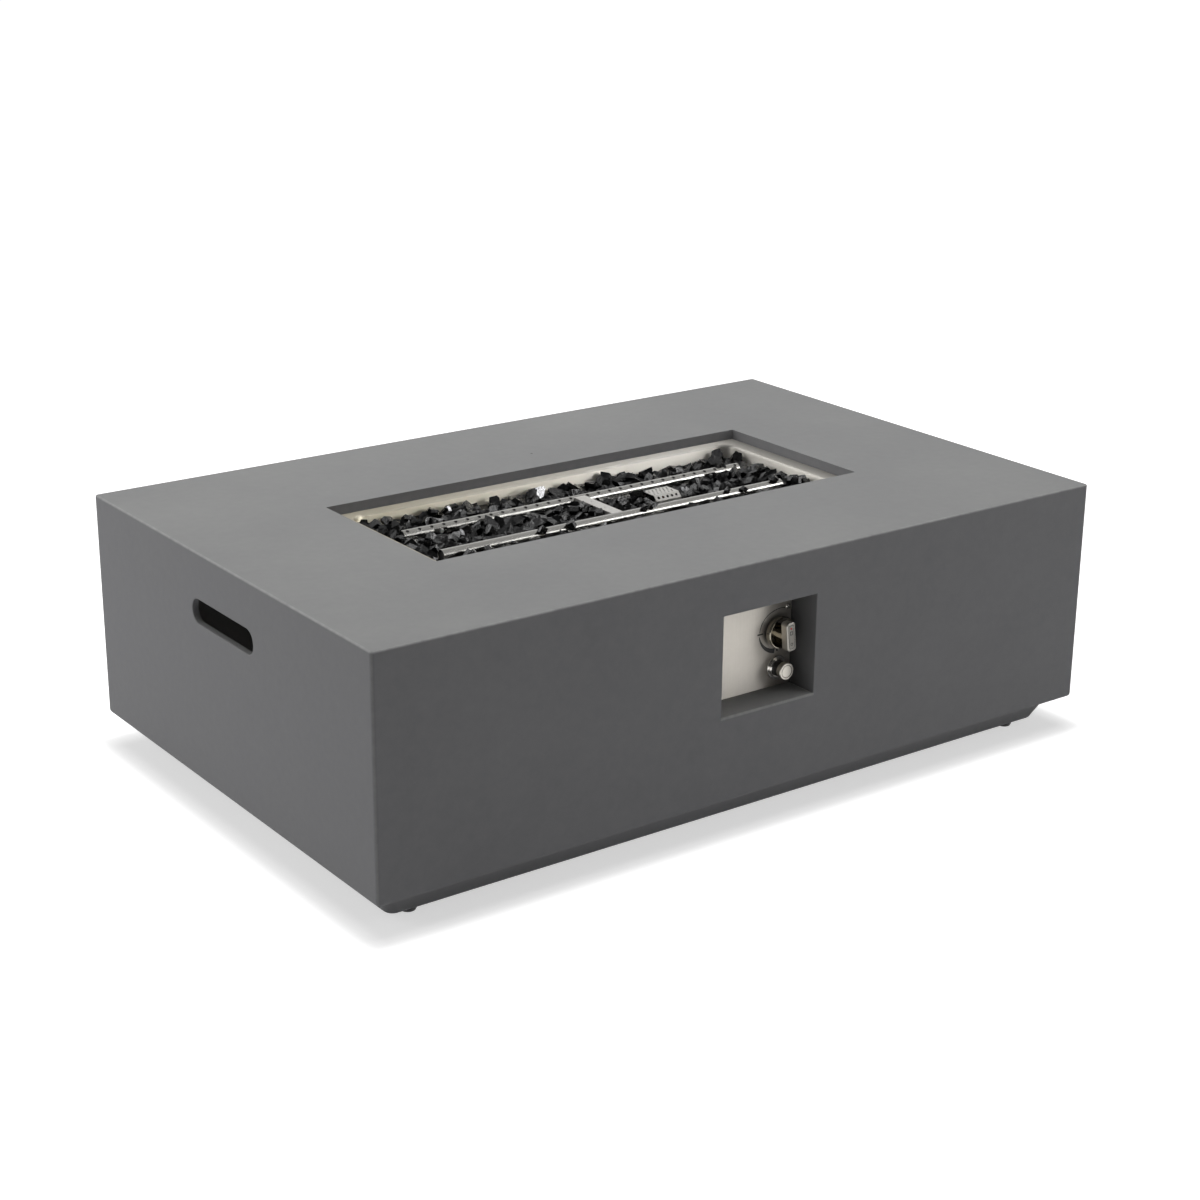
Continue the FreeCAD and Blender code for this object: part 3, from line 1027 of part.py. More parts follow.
def make_gas_inlet():
    """The flare fitting through the plinth's back wall, where the supply hose screws on."""
    inner_wall = f"{INLET_FACE} - dims.plinth_wall"
    section = [
        ("0", "-dims.plinth_wall - dims.inlet_inner_reach - dims.pipe_nut_overlap"),
        ("dims.stub_radius", "-dims.plinth_wall - dims.inlet_inner_reach - dims.pipe_nut_overlap"),
        ("dims.stub_radius", "-dims.plinth_wall - dims.inlet_inner_reach"),
        ("dims.inlet_thread_radius", "-dims.plinth_wall - dims.inlet_inner_reach"),
        ("dims.inlet_thread_radius", "dims.inlet_hex_thickness + dims.inlet_thread_length"),
        ("dims.inlet_thread_radius - 3",
         "dims.inlet_hex_thickness + dims.inlet_thread_length + 3"),
        ("0", "dims.inlet_hex_thickness + dims.inlet_thread_length + 3"),
    ]
    core = turned("inlet_core", section, "dims.inlet_shift", INLET_FACE, "dims.inlet_level",
                  TO_BACK)
    collar = hexagon("inlet_hex", "dims.inlet_hex_flats", "dims.inlet_hex_thickness",
                     "dims.inlet_shift", INLET_FACE, "dims.inlet_level", TO_BACK)
    node(fuse("inlet_fitting", [core, collar]), "gas_inlet_fitting")
    nut = hexagon("inlet_nut", "dims.inlet_hex_flats", "dims.inlet_hex_thickness",
                  "dims.inlet_shift", inner_wall, "dims.inlet_level", TO_FRONT)
    bore = rod("inlet_nut_bore", "dims.inlet_thread_radius + dims.running_gap",
               "dims.inlet_hex_thickness", "dims.inlet_shift", inner_wall, "dims.inlet_level",
               TO_FRONT)
    node(cut("inlet_nut_cut", nut, bore), "gas_inlet_locknut")


def make_lines(electrode, probe):
    """The rigid supply pipe, the burner feed hose, both leads and their nuts."""
    stub_end_x = f"({KNOB_X} - dims.valve_width / 2 - dims.stub_length)"
    inlet_end = f"({INLET_FACE} - dims.plinth_wall - dims.inlet_inner_reach - dims.pipe_nut_overlap)"
    outlet_x, outlet_z = f"({KNOB_X} + dims.outlet_dx)", f"({KNOB_Z} + dims.outlet_dz)"
    outlet_end = f"({VALVE_BACK} + dims.stub_length)"
    pipe_x, valve_y, valve_z = val("dims.inlet_shift"), val(STUB_Y), val(KNOB_Z)
    low, level = val("dims.inlet_level"), val("dims.pipe_level")
    end_y = val(inlet_end)
    line_of("supply_pipe", val("dims.pipe_radius"), [
        (val(stub_end_x), valve_y, valve_z), (pipe_x, valve_y, valve_z),
        (pipe_x, valve_y, level), (pipe_x, end_y - 120, level), (pipe_x, end_y - 50, low),
        (pipe_x, end_y, low)], bend=val("dims.pipe_bend"))
    hose_start = (val(outlet_x), val(outlet_end), val(outlet_z))
    hose_finish = (0, -val("dims.elbow_reach"), val(ELBOW_AXIS))
    line_of("feed_hose", val("dims.hose_radius"), [
        hose_start, (hose_start[0], hose_start[1] + 68, hose_start[2] - 2),
        (0, hose_finish[1] - 98, hose_finish[2] + 1), hose_finish])

    nut_back = "(dims.pipe_nut_length - dims.pipe_nut_overlap)"
    node(group("pipe_nuts", [
        pipe_nut("valve_pipe_nut", f"{stub_end_x} + dims.pipe_nut_overlap", STUB_Y, KNOB_Z,
                 TO_LEFT),
        pipe_nut("inlet_pipe_nut", "dims.inlet_shift", f"{inlet_end} - {nut_back}",
                 "dims.inlet_level", TO_BACK)]), "supply_pipe_nuts")
    node(group("hose_nuts", [
        pipe_nut("valve_hose_nut", outlet_x, f"{outlet_end} - dims.pipe_nut_overlap", outlet_z,
                 TO_BACK),
        pipe_nut("elbow_hose_nut", "0", f"-dims.elbow_reach + dims.pipe_nut_overlap",
                 ELBOW_AXIS, TO_FRONT)]), "feed_hose_nuts")

    nut_x = f"({KNOB_X} + dims.probe_nut_dx)"
    nut_z = f"({KNOB_Z} + dims.probe_nut_dz)"
    nut = hexagon("probe_nut", "dims.probe_nut_flats", "dims.probe_nut_length", nut_x,
                  VALVE_BACK, nut_z, TO_BACK)
    bore = rod("probe_nut_bore", "dims.probe_lead_radius + dims.running_gap",
               "dims.probe_nut_length", nut_x, VALVE_BACK, nut_z, TO_BACK)
    node(cut("probe_nut_cut", nut, bore), "thermocouple_nut")
    start = (val(nut_x), val(VALVE_BACK), val(nut_z))
    tip = (val(probe[0]), 0, val(probe[1]))
    line_of("thermocouple_lead", val("dims.probe_lead_radius"), [
        start, (start[0], start[1] + 99, start[2]), (tip[0], -100, start[2] + 4),
        (tip[0], 0, start[2] + 8), tip])
    back = val(f"{PANEL_Y} + dims.housing_depth + dims.terminal_length")
    start = (val(KNOB_X), back, val(IGNITER_Z))
    tip = (val(electrode[0]), 0, val(electrode[1]))
    line_of("ignition_lead", val("dims.spark_lead_radius"), [
        start, (start[0], back + 54, start[2]), (tip[0] - 13, -150, start[2] + 18),
        (tip[0], -60, start[2] + 48), (tip[0], 0, start[2] + 56), tip])


def rock_height(i, j):
    """A repeatable uneven height between 0 and 1 for one point of the rock bed."""
    mix = math.sin(i * 12.9898 + j * 78.233) * 43758.5453
    return mix - math.floor(mix)


def make_rock_bed():
    """The bed of fire glass as one faceted block round the burner, pilot and stands."""
    room = val("dims.rock_clearance")
    length, width = val(TUB_LENGTH) - 2 * room, val(TUB_WIDTH) - 2 * room
    floor, level = val(PAN_FLOOR), val(PAN_FLOOR) + val("dims.rock_level")
    swing, pitch = val("dims.rock_swing"), val("dims.rock_pitch")
    columns, rows = round(length / pitch), round(width / pitch)
    step_x, step_y = length / columns, width / rows
    top = {}
    for i in range(columns + 1):
        for j in range(rows + 1):
            inside = 0 < i < columns and 0 < j < rows
            shift = 0.5 * inside
            x = -length / 2 + step_x * (i + shift * (rock_height(i + 50, j) - 0.5))
            y = -width / 2 + step_y * (j + shift * (rock_height(i, j + 50) - 0.5))
            top[i, j] = Vector(x, y, level + swing * (rock_height(i, j) - 0.5))

    def facet(*corners):
        return Part.Face(Part.makePolygon(list(corners) + [corners[0]]))

    faces = []
    for i in range(columns):
        for j in range(rows):
            a, b, c, d = top[i, j], top[i + 1, j], top[i + 1, j + 1], top[i, j + 1]
            faces += [facet(a, b, c), facet(a, c, d)] if (i + j) % 2 else [facet(a, b, d), facet(b, c, d)]
    base = [Vector(sx * length / 2, sy * width / 2, floor)
            for sx, sy in ((-1, -1), (1, -1), (1, 1), (-1, 1))]
    faces.append(facet(*base))
    south = [top[i, 0] for i in range(columns + 1)]
    east = [top[columns, j] for j in range(rows + 1)]
    north = [top[i, rows] for i in range(columns, -1, -1)]
    west = [top[0, j] for j in range(rows, -1, -1)]
    for edge, start, finish in ((south, 0, 1), (east, 1, 2), (north, 2, 3), (west, 3, 0)):
        faces.append(facet(*edge, base[finish], base[start]))
    bed = Part.Solid(Part.Shell(faces))

    corner = val("dims.pan_corner_radius")
    mould = Part.makeBox(length, width, 100, Vector(-length / 2, -width / 2, floor))
    upright = [e for e in mould.Edges if e.BoundBox.ZLength > 1]
    mould = mould.makeFillet(corner, upright)
    low = [e for e in mould.Edges if near(e.BoundBox.ZMax, floor)]
    mould = mould.makeFillet(val("dims.pan_floor_bend") + room, low)
    bed = bed.common(mould)

    axis_z, tube_y = val(TUBE_AXIS), val(TUBE_Y)
    gap_radius = val(TUBE_RADIUS) + room
    reach = val("dims.tube_length") + 2 * room
    high = 60

    def well(x, y, half_x, half_y, base_z=floor - 1):
        return Part.makeBox(2 * half_x, 2 * half_y, high, Vector(x - half_x, y - half_y, base_z))

    tools = [
        well(0, 0, val("dims.cross_width") / 2 + room, tube_y, val(CROSS_BASE) - room),
        Part.makeCylinder(val("dims.locknut_flats") / 2 / math.cos(math.radians(30)) + room,
                          high, Vector(0, 0, floor - 1)),
        well(val("dims.pilot_shift"), 0, val("dims.hood_length") / 2 + room,
             val(HOOD_HALF) + val("dims.hood_flange") + room),
    ]
    stand_mid = val(STAND_Y) - val("dims.stand_foot") / 2
    for side in (-1, 1):
        tools.append(Part.makeCylinder(gap_radius, reach, Vector(-reach / 2, side * tube_y, axis_z),
                                       Vector(1, 0, 0)))
        tools.append(Part.makeBox(reach, 2 * gap_radius, high,
                                  Vector(-reach / 2, side * tube_y - gap_radius, axis_z)))
        for end in (-1, 1):
            tools.append(well(end * val("dims.stand_shift"), side * stand_mid,
                              val("dims.stand_width") / 2 + room,
                              val("dims.stand_foot") / 2 + room))
    for tool in tools:
        bed = bed.cut(tool)
    obj = doc.addObject("Part::Feature", "rock_bed")
    solids = sorted(bed.Solids, key=lambda s: -s.Volume)
    obj.Shape = solids[0]
    print("rock bed solids", [round(s.Volume) for s in solids])
    node(obj, "rock_bed")


def write_parts():
    """Check every object and sub-part, then write one STEP file for each node."""
    doc.recompute()
    for obj in doc.Objects:
        if {"Invalid", "Error"} & set(obj.State):
            raise RuntimeError(f"{obj.Name} is not up to date: {obj.State}")
        if obj.TypeId == "PartDesign::Pocket":
            if obj.Shape.Volume >= obj.BaseFeature.Shape.Volume - 1e-6:
                raise RuntimeError(f"{obj.Name} cuts nothing")
    os.makedirs("parts", exist_ok=True)
    for obj in nodes:
        shape = obj.Shape
        if shape.isNull() or not shape.isValid() or not shape.Solids:
            raise RuntimeError(f"{obj.Label} has no valid solid")
        shape.exportStep(f"parts/{obj.Label}.step")
    print(len(nodes), "nodes written")


make_shell()
make_feet()
make_pan()
make_tubes()
make_cross_tube()
make_mixer()
make_stands()
make_hood()
electrode_end, probe_end = make_pilot()
make_panel()
make_valve()
make_knob()
make_igniter()
make_gas_inlet()
make_lines(electrode_end, probe_end)
make_rock_bed()
write_parts()
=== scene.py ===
import math

import bpy
import numpy as np
from mathutils import Matrix, Vector


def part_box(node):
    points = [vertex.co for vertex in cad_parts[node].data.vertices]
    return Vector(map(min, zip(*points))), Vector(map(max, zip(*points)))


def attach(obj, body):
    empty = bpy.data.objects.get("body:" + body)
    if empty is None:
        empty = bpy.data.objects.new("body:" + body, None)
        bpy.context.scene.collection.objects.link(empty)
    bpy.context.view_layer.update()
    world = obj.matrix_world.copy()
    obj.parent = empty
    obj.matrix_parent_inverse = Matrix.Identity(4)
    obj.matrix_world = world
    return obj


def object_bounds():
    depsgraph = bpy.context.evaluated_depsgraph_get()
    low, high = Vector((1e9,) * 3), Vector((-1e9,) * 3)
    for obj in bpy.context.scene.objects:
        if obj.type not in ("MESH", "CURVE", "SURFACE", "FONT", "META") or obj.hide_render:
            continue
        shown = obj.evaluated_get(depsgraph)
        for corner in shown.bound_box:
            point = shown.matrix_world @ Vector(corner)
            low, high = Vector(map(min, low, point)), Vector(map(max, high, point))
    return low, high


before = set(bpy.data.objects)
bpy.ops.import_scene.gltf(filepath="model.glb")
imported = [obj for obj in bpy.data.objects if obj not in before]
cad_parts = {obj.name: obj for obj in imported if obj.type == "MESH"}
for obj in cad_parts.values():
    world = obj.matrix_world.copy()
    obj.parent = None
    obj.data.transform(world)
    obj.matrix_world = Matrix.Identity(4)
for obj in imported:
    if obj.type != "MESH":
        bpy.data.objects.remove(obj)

# A concrete fire pit table with a two-tube gas burner in a bed of black fire glass.
# Metres, in the frame of the solids: +Z up, floor at 0, the control recess faces -Y.

cad_box = [[float(c) for c in corner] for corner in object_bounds()]

bpy.context.scene.view_settings.view_transform = "Standard"


def box_array(node):
    """The low and the high corner of a node's box."""
    low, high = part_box(node)
    return np.array(low), np.array(high)


# shader nodes in short

def add(tree, kind, inputs=None, **settings):
    """A node with its settings; an input takes a number, a colour or another node's socket."""
    made = tree.nodes.new(kind)
    for name, value in settings.items():
        setattr(made, name, value)
    for name, value in (inputs or {}).items():
        if isinstance(value, bpy.types.NodeSocket):
            tree.links.new(value, made.inputs[name])
        else:
            made.inputs[name].default_value = value
    return made


def maths(tree, operation, first, second=0.0):
    """The result of a sum on one or two numbers."""
    return add(tree, "ShaderNodeMath", {0: first, 1: second},
               operation=operation).outputs["Value"]


def product(tree, first, *others):
    """The product of two or more numbers."""
    for other in others:
        first = maths(tree, "MULTIPLY", first, other)
    return first


def vector(tree, operation, first, second=(0, 0, 0)):
    """The vector that comes of a sum on one or two vectors."""
    return add(tree, "ShaderNodeVectorMath", {0: first, 1: second},
               operation=operation).outputs["Vector"]


def measure(tree, operation, first, second=(0, 0, 0)):
    """The number that comes of a sum on vectors: a length, a distance or a dot product."""
    return add(tree, "ShaderNodeVectorMath", {0: first, 1: second},
               operation=operation).outputs["Value"]


def split(tree, socket):
    """The three parts of a vector, by axis."""
    return add(tree, "ShaderNodeSeparateXYZ", {0: socket}).outputs


def facing(tree):
    """The direction that the surface faces, by axis."""
    return split(tree, add(tree, "ShaderNodeTexCoord").outputs["Normal"])


def ramp(tree, value, start, end, low=0.0, high=1.0, smooth=False):
    """A number that runs from low to high as a value runs from start to end."""
    return add(tree, "ShaderNodeMapRange", {
        "Value": value, "From Min": start, "From Max": end, "To Min": low, "To Max": high},
        interpolation_type="SMOOTHSTEP" if smooth else "LINEAR").outputs["Result"]


def range_of(tree, factor, low, high):
    """A number that runs from low to high as a factor runs from 0 to 1."""
    return ramp(tree, factor, 0.0, 1.0, low, high)


def between(tree, factor, low, high):
    """A colour that runs from low to high with a factor."""
    mix = add(tree, "ShaderNodeMix", {"Factor": factor}, data_type="RGBA")
    mix.inputs["A"].default_value = (*low, 1)
    mix.inputs["B"].default_value = (*high, 1)
    return mix.outputs["Result"]


def tint(tree, factor, colour, other, blend="MIX"):
    """A colour that gives way to another, or is multiplied by it, by a factor."""
    mix = add(tree, "ShaderNodeMix", {"Factor": factor, "A": colour}, data_type="RGBA",
              blend_type=blend)
    mix.inputs["B"].default_value = (*other, 1)
    return mix.outputs["Result"]


# camera, floor and light

def camera_seat():
    """The photograph's viewpoint: a place, a heading from +Y towards +X, a pitch and a roll.
    The focal length and the photograph's width are in its pixels."""
    place = Vector((-1.9683, -2.6985, 1.4084))
    heading, pitch, roll = (math.radians(a) for a in (36.181, -19.528, 0.516))
    focal_length, photo_width, sensor = 2284.4, 1200.0, 36.0
    turn = (Matrix.Rotation(-heading, 4, "Z") @ Matrix.Rotation(math.pi / 2 + pitch, 4, "X")
            @ Matrix.Rotation(roll, 4, "Z"))
    data = bpy.data.cameras.new("camera")
    data.sensor_width = sensor
    data.lens = sensor * focal_length / photo_width
    data.clip_end = 60.0
    seat = bpy.data.objects.new("camera", data)
    seat.matrix_world = Matrix.Translation(place) @ turn
    bpy.context.scene.collection.objects.link(seat)
    bpy.context.scene.camera = seat


def soft_light(name, place, target, size, power, mirrored=True):
    """A square soft box at a place, turned to a target, which metal and glass may mirror."""
    data = bpy.data.lights.new(name, "AREA")
    data.shape = "SQUARE"
    data.size = size
    data.energy = power
    lamp = bpy.data.objects.new(name, data)
    lamp.location = place
    lamp.visible_glossy = mirrored
    aim = Vector(target) - Vector(place)
    lamp.rotation_euler = aim.to_track_quat("-Z", "Y").to_euler()
    bpy.context.scene.collection.objects.link(lamp)


def studio():
    """A white world for eyes and glass. Reflections find it pale low down, brighter towards
    the front right and the back left, and darker overhead and towards the front left, as in a
    studio whose far end is unlit. Diffuse light from it is dim, and three soft boxes do the
    rest."""
    pale, overhead, dim = 0.80, 0.46, 0.145
    world = bpy.data.worlds.new("studio")
    world.use_nodes = True
    bpy.context.scene.world = world
    tree = world.node_tree
    tree.nodes.clear()
    ray = add(tree, "ShaderNodeLightPath").outputs
    towards = add(tree, "ShaderNodeTexCoord").outputs["Generated"]

    def patch(middle, rim, core, level):
        """A level that runs smoothly from 1 to its own value, by the cosine to a middle."""
        near = measure(tree, "DOT_PRODUCT", towards, middle)
        return ramp(tree, near, rim, core, 1.0, level, smooth=True)

    front_left = patch((-0.56, -0.75, 0.35), 0.15, 0.78, 0.08)
    front_right = patch((0.80, -0.56, 0.20), 0.93, 0.968, 12.0)
    back_left = patch((-0.62, 0.74, 0.25), 0.85, 0.96, 4.0)
    height = ramp(tree, split(tree, towards)["Z"], 0.35, 0.75, pale, overhead, smooth=True)
    mirrored = product(tree, height, front_left, front_right, back_left, ray["Is Glossy Ray"])
    plain = maths(tree, "MAXIMUM", ray["Is Camera Ray"], ray["Is Transmission Ray"])
    soft = product(tree, ray["Is Diffuse Ray"], dim)
    strength = maths(tree, "MAXIMUM", maths(tree, "MAXIMUM", plain, mirrored), soft)
    light = add(tree, "ShaderNodeBackground", {"Color": (1, 1, 1, 1), "Strength": strength})
    add(tree, "ShaderNodeOutputWorld", {"Surface": light.outputs[0]})
    soft_light("top_box", (0.1, 0.3, 3.1), (0.0, 0.0, 0.3), 3.0, 78.0, mirrored=False)
    soft_light("left_box", (-3.2, 1.9, 1.5), (-0.5, 0.1, 0.25), 2.2, 32.0)
    soft_light("front_box", (2.4, -2.2, 1.2), (0.2, 0.0, 0.3), 1.5, 6.5)


def floor():
    """A pale floor that the camera sees as white. Its glow is dimmer close to the table, a
    painted shadow that lies with the table's own soft shadow."""
    half_span, shadow_width, dimmest, clearest, grey = 14.0, 0.036, 0.58, 0.96, 0.56
    mesh = bpy.data.meshes.new("floor")
    mesh.from_pydata([(x * half_span, y * half_span, 0)
                      for x, y in ((-1, -1), (1, -1), (1, 1), (-1, 1))], [], [(0, 1, 2, 3)])
    ground = bpy.data.objects.new("floor", mesh)
    bpy.context.scene.collection.objects.link(ground)
    material = bpy.data.materials.new("pale_floor")
    material.use_nodes = True
    tree = material.node_tree
    tree.nodes.clear()
    ray = add(tree, "ShaderNodeLightPath").outputs
    place = add(tree, "ShaderNodeTexCoord").outputs["Object"]
    apart = vector(tree, "SUBTRACT", vector(tree, "ABSOLUTE", place),
                   (cad_box[1][0], cad_box[1][1], 0.0))
    apart = measure(tree, "LENGTH", vector(tree, "MAXIMUM", apart, (0, 0, 0)))
    # Painted shadow: the glow that camera, metal and glass see fades in from its dimmest at the
    # table
    clear = ramp(tree, apart, 0.0, shadow_width, dimmest, clearest, smooth=True)
    seen = maths(tree, "MAXIMUM", ray["Is Camera Ray"], ray["Is Glossy Ray"])
    seen = maths(tree, "MAXIMUM", seen, ray["Is Transmission Ray"])
    diffuse = add(tree, "ShaderNodeBsdfDiffuse", {"Color": (grey, grey, grey, 1)})
    glow = add(tree, "ShaderNodeEmission", {"Strength": product(tree, seen, clear)})
    both = add(tree, "ShaderNodeAddShader", {0: diffuse.outputs[0], 1: glow.outputs[0]})
    add(tree, "ShaderNodeOutputMaterial", {"Surface": both.outputs[0]})
    mesh.materials.append(material)


# effects that several finishes share

def effect_group(name, inputs, outputs):
    """An empty node group with named inputs and outputs."""
    group = bpy.data.node_groups.new(name, "ShaderNodeTree")
    for label, kind, value in inputs:
        socket = group.interface.new_socket(label, in_out="INPUT", socket_type=kind)
        if value is not None:
            socket.default_value = value
    for label, kind in outputs:
        group.interface.new_socket(label, in_out="OUTPUT", socket_type=kind)
    return group, group.nodes.new("NodeGroupInput"), group.nodes.new("NodeGroupOutput")


def cloud_effect():
    """Soft blotches at two sizes: out come a tone from 0 to 1 and a fine height."""
    group, given, result = effect_group(
        "soft_clouds",
        [("Vector", "NodeSocketVector", None), ("Size", "NodeSocketFloat", 4.0),
         ("Fine", "NodeSocketFloat", 60.0)],
        [("Tone", "NodeSocketFloat"), ("Height", "NodeSocketFloat")])
    broad = add(group, "ShaderNodeTexNoise", {
        "Vector": given.outputs["Vector"], "Scale": given.outputs["Size"], "Detail": 5.0,
        "Roughness": 0.55})
    fine = add(group, "ShaderNodeTexNoise", {
        "Vector": given.outputs["Vector"], "Scale": given.outputs["Fine"], "Detail": 4.0,
        "Roughness": 0.6})
    both = add(group, "ShaderNodeMix", {
        "Factor": 0.28, "A": broad.outputs["Fac"], "B": fine.outputs["Fac"]},
        data_type="FLOAT")
    group.links.new(ramp(group, both.outputs["Result"], 0.34, 0.66), result.inputs["Tone"])
    group.links.new(fine.outputs["Fac"], result.inputs["Height"])
    return group


def grain_effect():
    """Brushed lines: noise stretched along one direction by the Stretch vector."""
    group, given, result = effect_group(
        "brushed_grain",
        [("Vector", "NodeSocketVector", None), ("Stretch", "NodeSocketVector", (1, 1, 1)),
         ("Amount", "NodeSocketFloat", 0.5)],
        [("Tone", "NodeSocketFloat"), ("Height", "NodeSocketFloat")])
    drawn = vector(group, "MULTIPLY", given.outputs["Vector"], given.outputs["Stretch"])
    coarse = add(group, "ShaderNodeTexNoise", {
        "Vector": drawn, "Scale": 1.0, "Detail": 3.0, "Roughness": 0.7})
    thin = add(group, "ShaderNodeTexNoise", {
        "Vector": drawn, "Scale": 3.1, "Detail": 2.0, "Roughness": 0.6})
    both = add(group, "ShaderNodeMix", {
        "Factor": given.outputs["Amount"], "A": coarse.outputs["Fac"],
        "B": thin.outputs["Fac"]}, data_type="FLOAT")
    group.links.new(ramp(group, both.outputs["Result"], 0.3, 0.7), result.inputs["Tone"])
    group.links.new(both.outputs["Result"], result.inputs["Height"])
    return group


CLOUDS = cloud_effect()
GRAIN = grain_effect()


def clouds_at(tree, place, size, fine):
    """The tone and height of the clouds, for broad and fine noise scales."""
    return add(tree, "ShaderNodeGroup", {"Vector": place, "Size": size, "Fine": fine},
               node_tree=CLOUDS).outputs


def grain_at(tree, place, stretch, amount=0.5):
    """The tone and height of the brushed lines."""
    return add(tree, "ShaderNodeGroup", {
        "Vector": place, "Stretch": stretch, "Amount": amount}, node_tree=GRAIN).outputs


# finishes

def blank_material(name):
    """A material with a bare Principled shader, and the object's own coordinates."""
    material = bpy.data.materials.new(name)
    material.use_nodes = True
    tree = material.node_tree
    tree.nodes.clear()
    shader = add(tree, "ShaderNodeBsdfPrincipled")
    out = add(tree, "ShaderNodeOutputMaterial")
    tree.links.new(shader.outputs["BSDF"], out.inputs["Surface"])
    place = add(tree, "ShaderNodeTexCoord").outputs["Object"]
    return material, tree, shader, place


def paint(tree, shader, colour, roughness):
    """Feed the shader its colour and its roughness."""
    tree.links.new(colour, shader.inputs["Base Color"])
    tree.links.new(roughness, shader.inputs["Roughness"])


def raise_bump(tree, shader, height, distance, strength=1.0):
    """Feed the shader a bump of a height from 0 to 1 and a distance in metres."""
    bump = add(tree, "ShaderNodeBump", {
        "Height": height, "Distance": distance, "Strength": strength})
    tree.links.new(bump.outputs["Normal"], shader.inputs["Normal"])


def repaint(material, mask_of, colour):
    """Lay a colour over a finished material, by a mask made in its own tree."""
    tree = material.node_tree
    base = tree.nodes["Principled BSDF"].inputs["Base Color"]
    plain = base.links[0].from_socket
    tree.links.new(tint(tree, mask_of(tree), plain, colour), base)
    return material


def concrete_finish():
    """Smooth cast concrete: faint clouds, a sandy bump, walls made cooler by painted shade,
    painted shade in the control recess and in the hollow, paler edges of wear and painted
    highlight, and one dark speck on the top."""
    material, tree, shader, place = blank_material("smooth_concrete")
    clouds = clouds_at(tree, place, 3.2, 70.0)
    where = split(tree, place)
    up = facing(tree)["Z"]
    front, top = cad_box[0][1], cad_box[1][2]
    plate_low, plate_high = box_array("control_plate")
    # The recess is wider than its plate by this much on each side
    recess_room = 0.0015
    colour = between(tree, clouds["Tone"], (0.226, 0.227, 0.228), (0.274, 0.275, 0.272))

    # Painted shade: the walls are cooler and a little darker than the top
    colour = tint(tree, ramp(tree, up, 0.5, 0.2), colour, (0.97, 0.965, 1.0), "MULTIPLY")

    def in_recess(axis):
        """1 between the recess's two walls that stand across an axis."""
        middle = (plate_low[axis] + plate_high[axis]) / 2
        off = maths(tree, "ABSOLUTE", maths(tree, "SUBTRACT", where[axis], middle))
        half = (plate_high[axis] - plate_low[axis]) / 2
        return maths(tree, "LESS_THAN", off, half + recess_room)

    # Painted shade inside the control recess, darkest at its back, but not on its floor
    mouth, recess_end = front + 0.0003, -0.345
    in_width = in_recess(0)
    recess_shade = product(tree, ramp(tree, where["Y"], mouth, plate_low[1]), in_width, in_recess(2),
                    maths(tree, "GREATER_THAN", where["Y"], mouth),
                    maths(tree, "LESS_THAN", where["Y"], recess_end),
                    ramp(tree, up, 0.5, 0.8, 1.0, 0.0))
    colour = tint(tree, recess_shade, colour, (0.40, 0.40, 0.40), "MULTIPLY")

    # Painted shade, near black, in the hollow, which only the hand slots show
    wall, roof, behind_plate = 0.0105, 0.0185, 0.004
    depth = split(tree, vector(tree, "SUBTRACT", vector(tree, "ABSOLUTE", place), (
        cad_box[1][0] - wall, cad_box[1][1] - wall, top - roof)))
    inner = product(tree, *[maths(tree, "LESS_THAN", part, 0.0) for part in depth],
                    maths(tree, "GREATER_THAN", where["Y"], plate_high[1] + behind_plate))
    colour = tint(tree, inner, colour, (0.035, 0.035, 0.036))

    # Two of the three coordinates close to the box's faces make an edge
    edge_band_from, edge_band_to = 0.0035, 0.0010
    near_x, near_y, near_z = [
        ramp(tree, part, face - edge_band_from, face - edge_band_to)
        for part, face in zip(split(tree, vector(tree, "ABSOLUTE", place)), cad_box[1])]
    edge = product(tree, near_x, near_y)
    for pair in ((near_y, near_z), (near_x, near_z)):
        edge = maths(tree, "MAXIMUM", edge, product(tree, *pair))

    # A painted highlight on the front edge of the recess's floor
    sill_highlight = maths(tree, "SUBTRACT", where["Z"], plate_low[2] - recess_room)
    sill_highlight = product(tree, ramp(tree, maths(tree, "ABSOLUTE", sill_highlight), 0.0030, 0.0012), in_width,
                   ramp(tree, where["Y"], front + edge_band_from, front + edge_band_to))
    edge = maths(tree, "MAXIMUM", edge, sill_highlight)
    # Paler edges, from wear and from a painted highlight
    colour = tint(tree, product(tree, edge, clouds["Height"]), colour, (0.46, 0.46, 0.455))

    speck_x, speck_y = 0.0283, 0.2212
    speck = measure(tree, "DISTANCE", place, (speck_x, speck_y, top))
    speck = ramp(tree, speck, 0.0026, 0.0012)
    colour = tint(tree, speck, colour, (0.07, 0.07, 0.07))
    paint(tree, shader, colour, range_of(tree, clouds["Tone"], 0.60, 0.72))
    sand = add(tree, "ShaderNodeTexNoise", {"Vector": place, "Scale": 900.0, "Detail": 3.0})
    raise_bump(tree, shader, maths(tree, "SUBTRACT", sand.outputs["Fac"], speck), 0.00012, 0.5)
    shader.inputs["Specular IOR Level"].default_value = 0.25
    return material


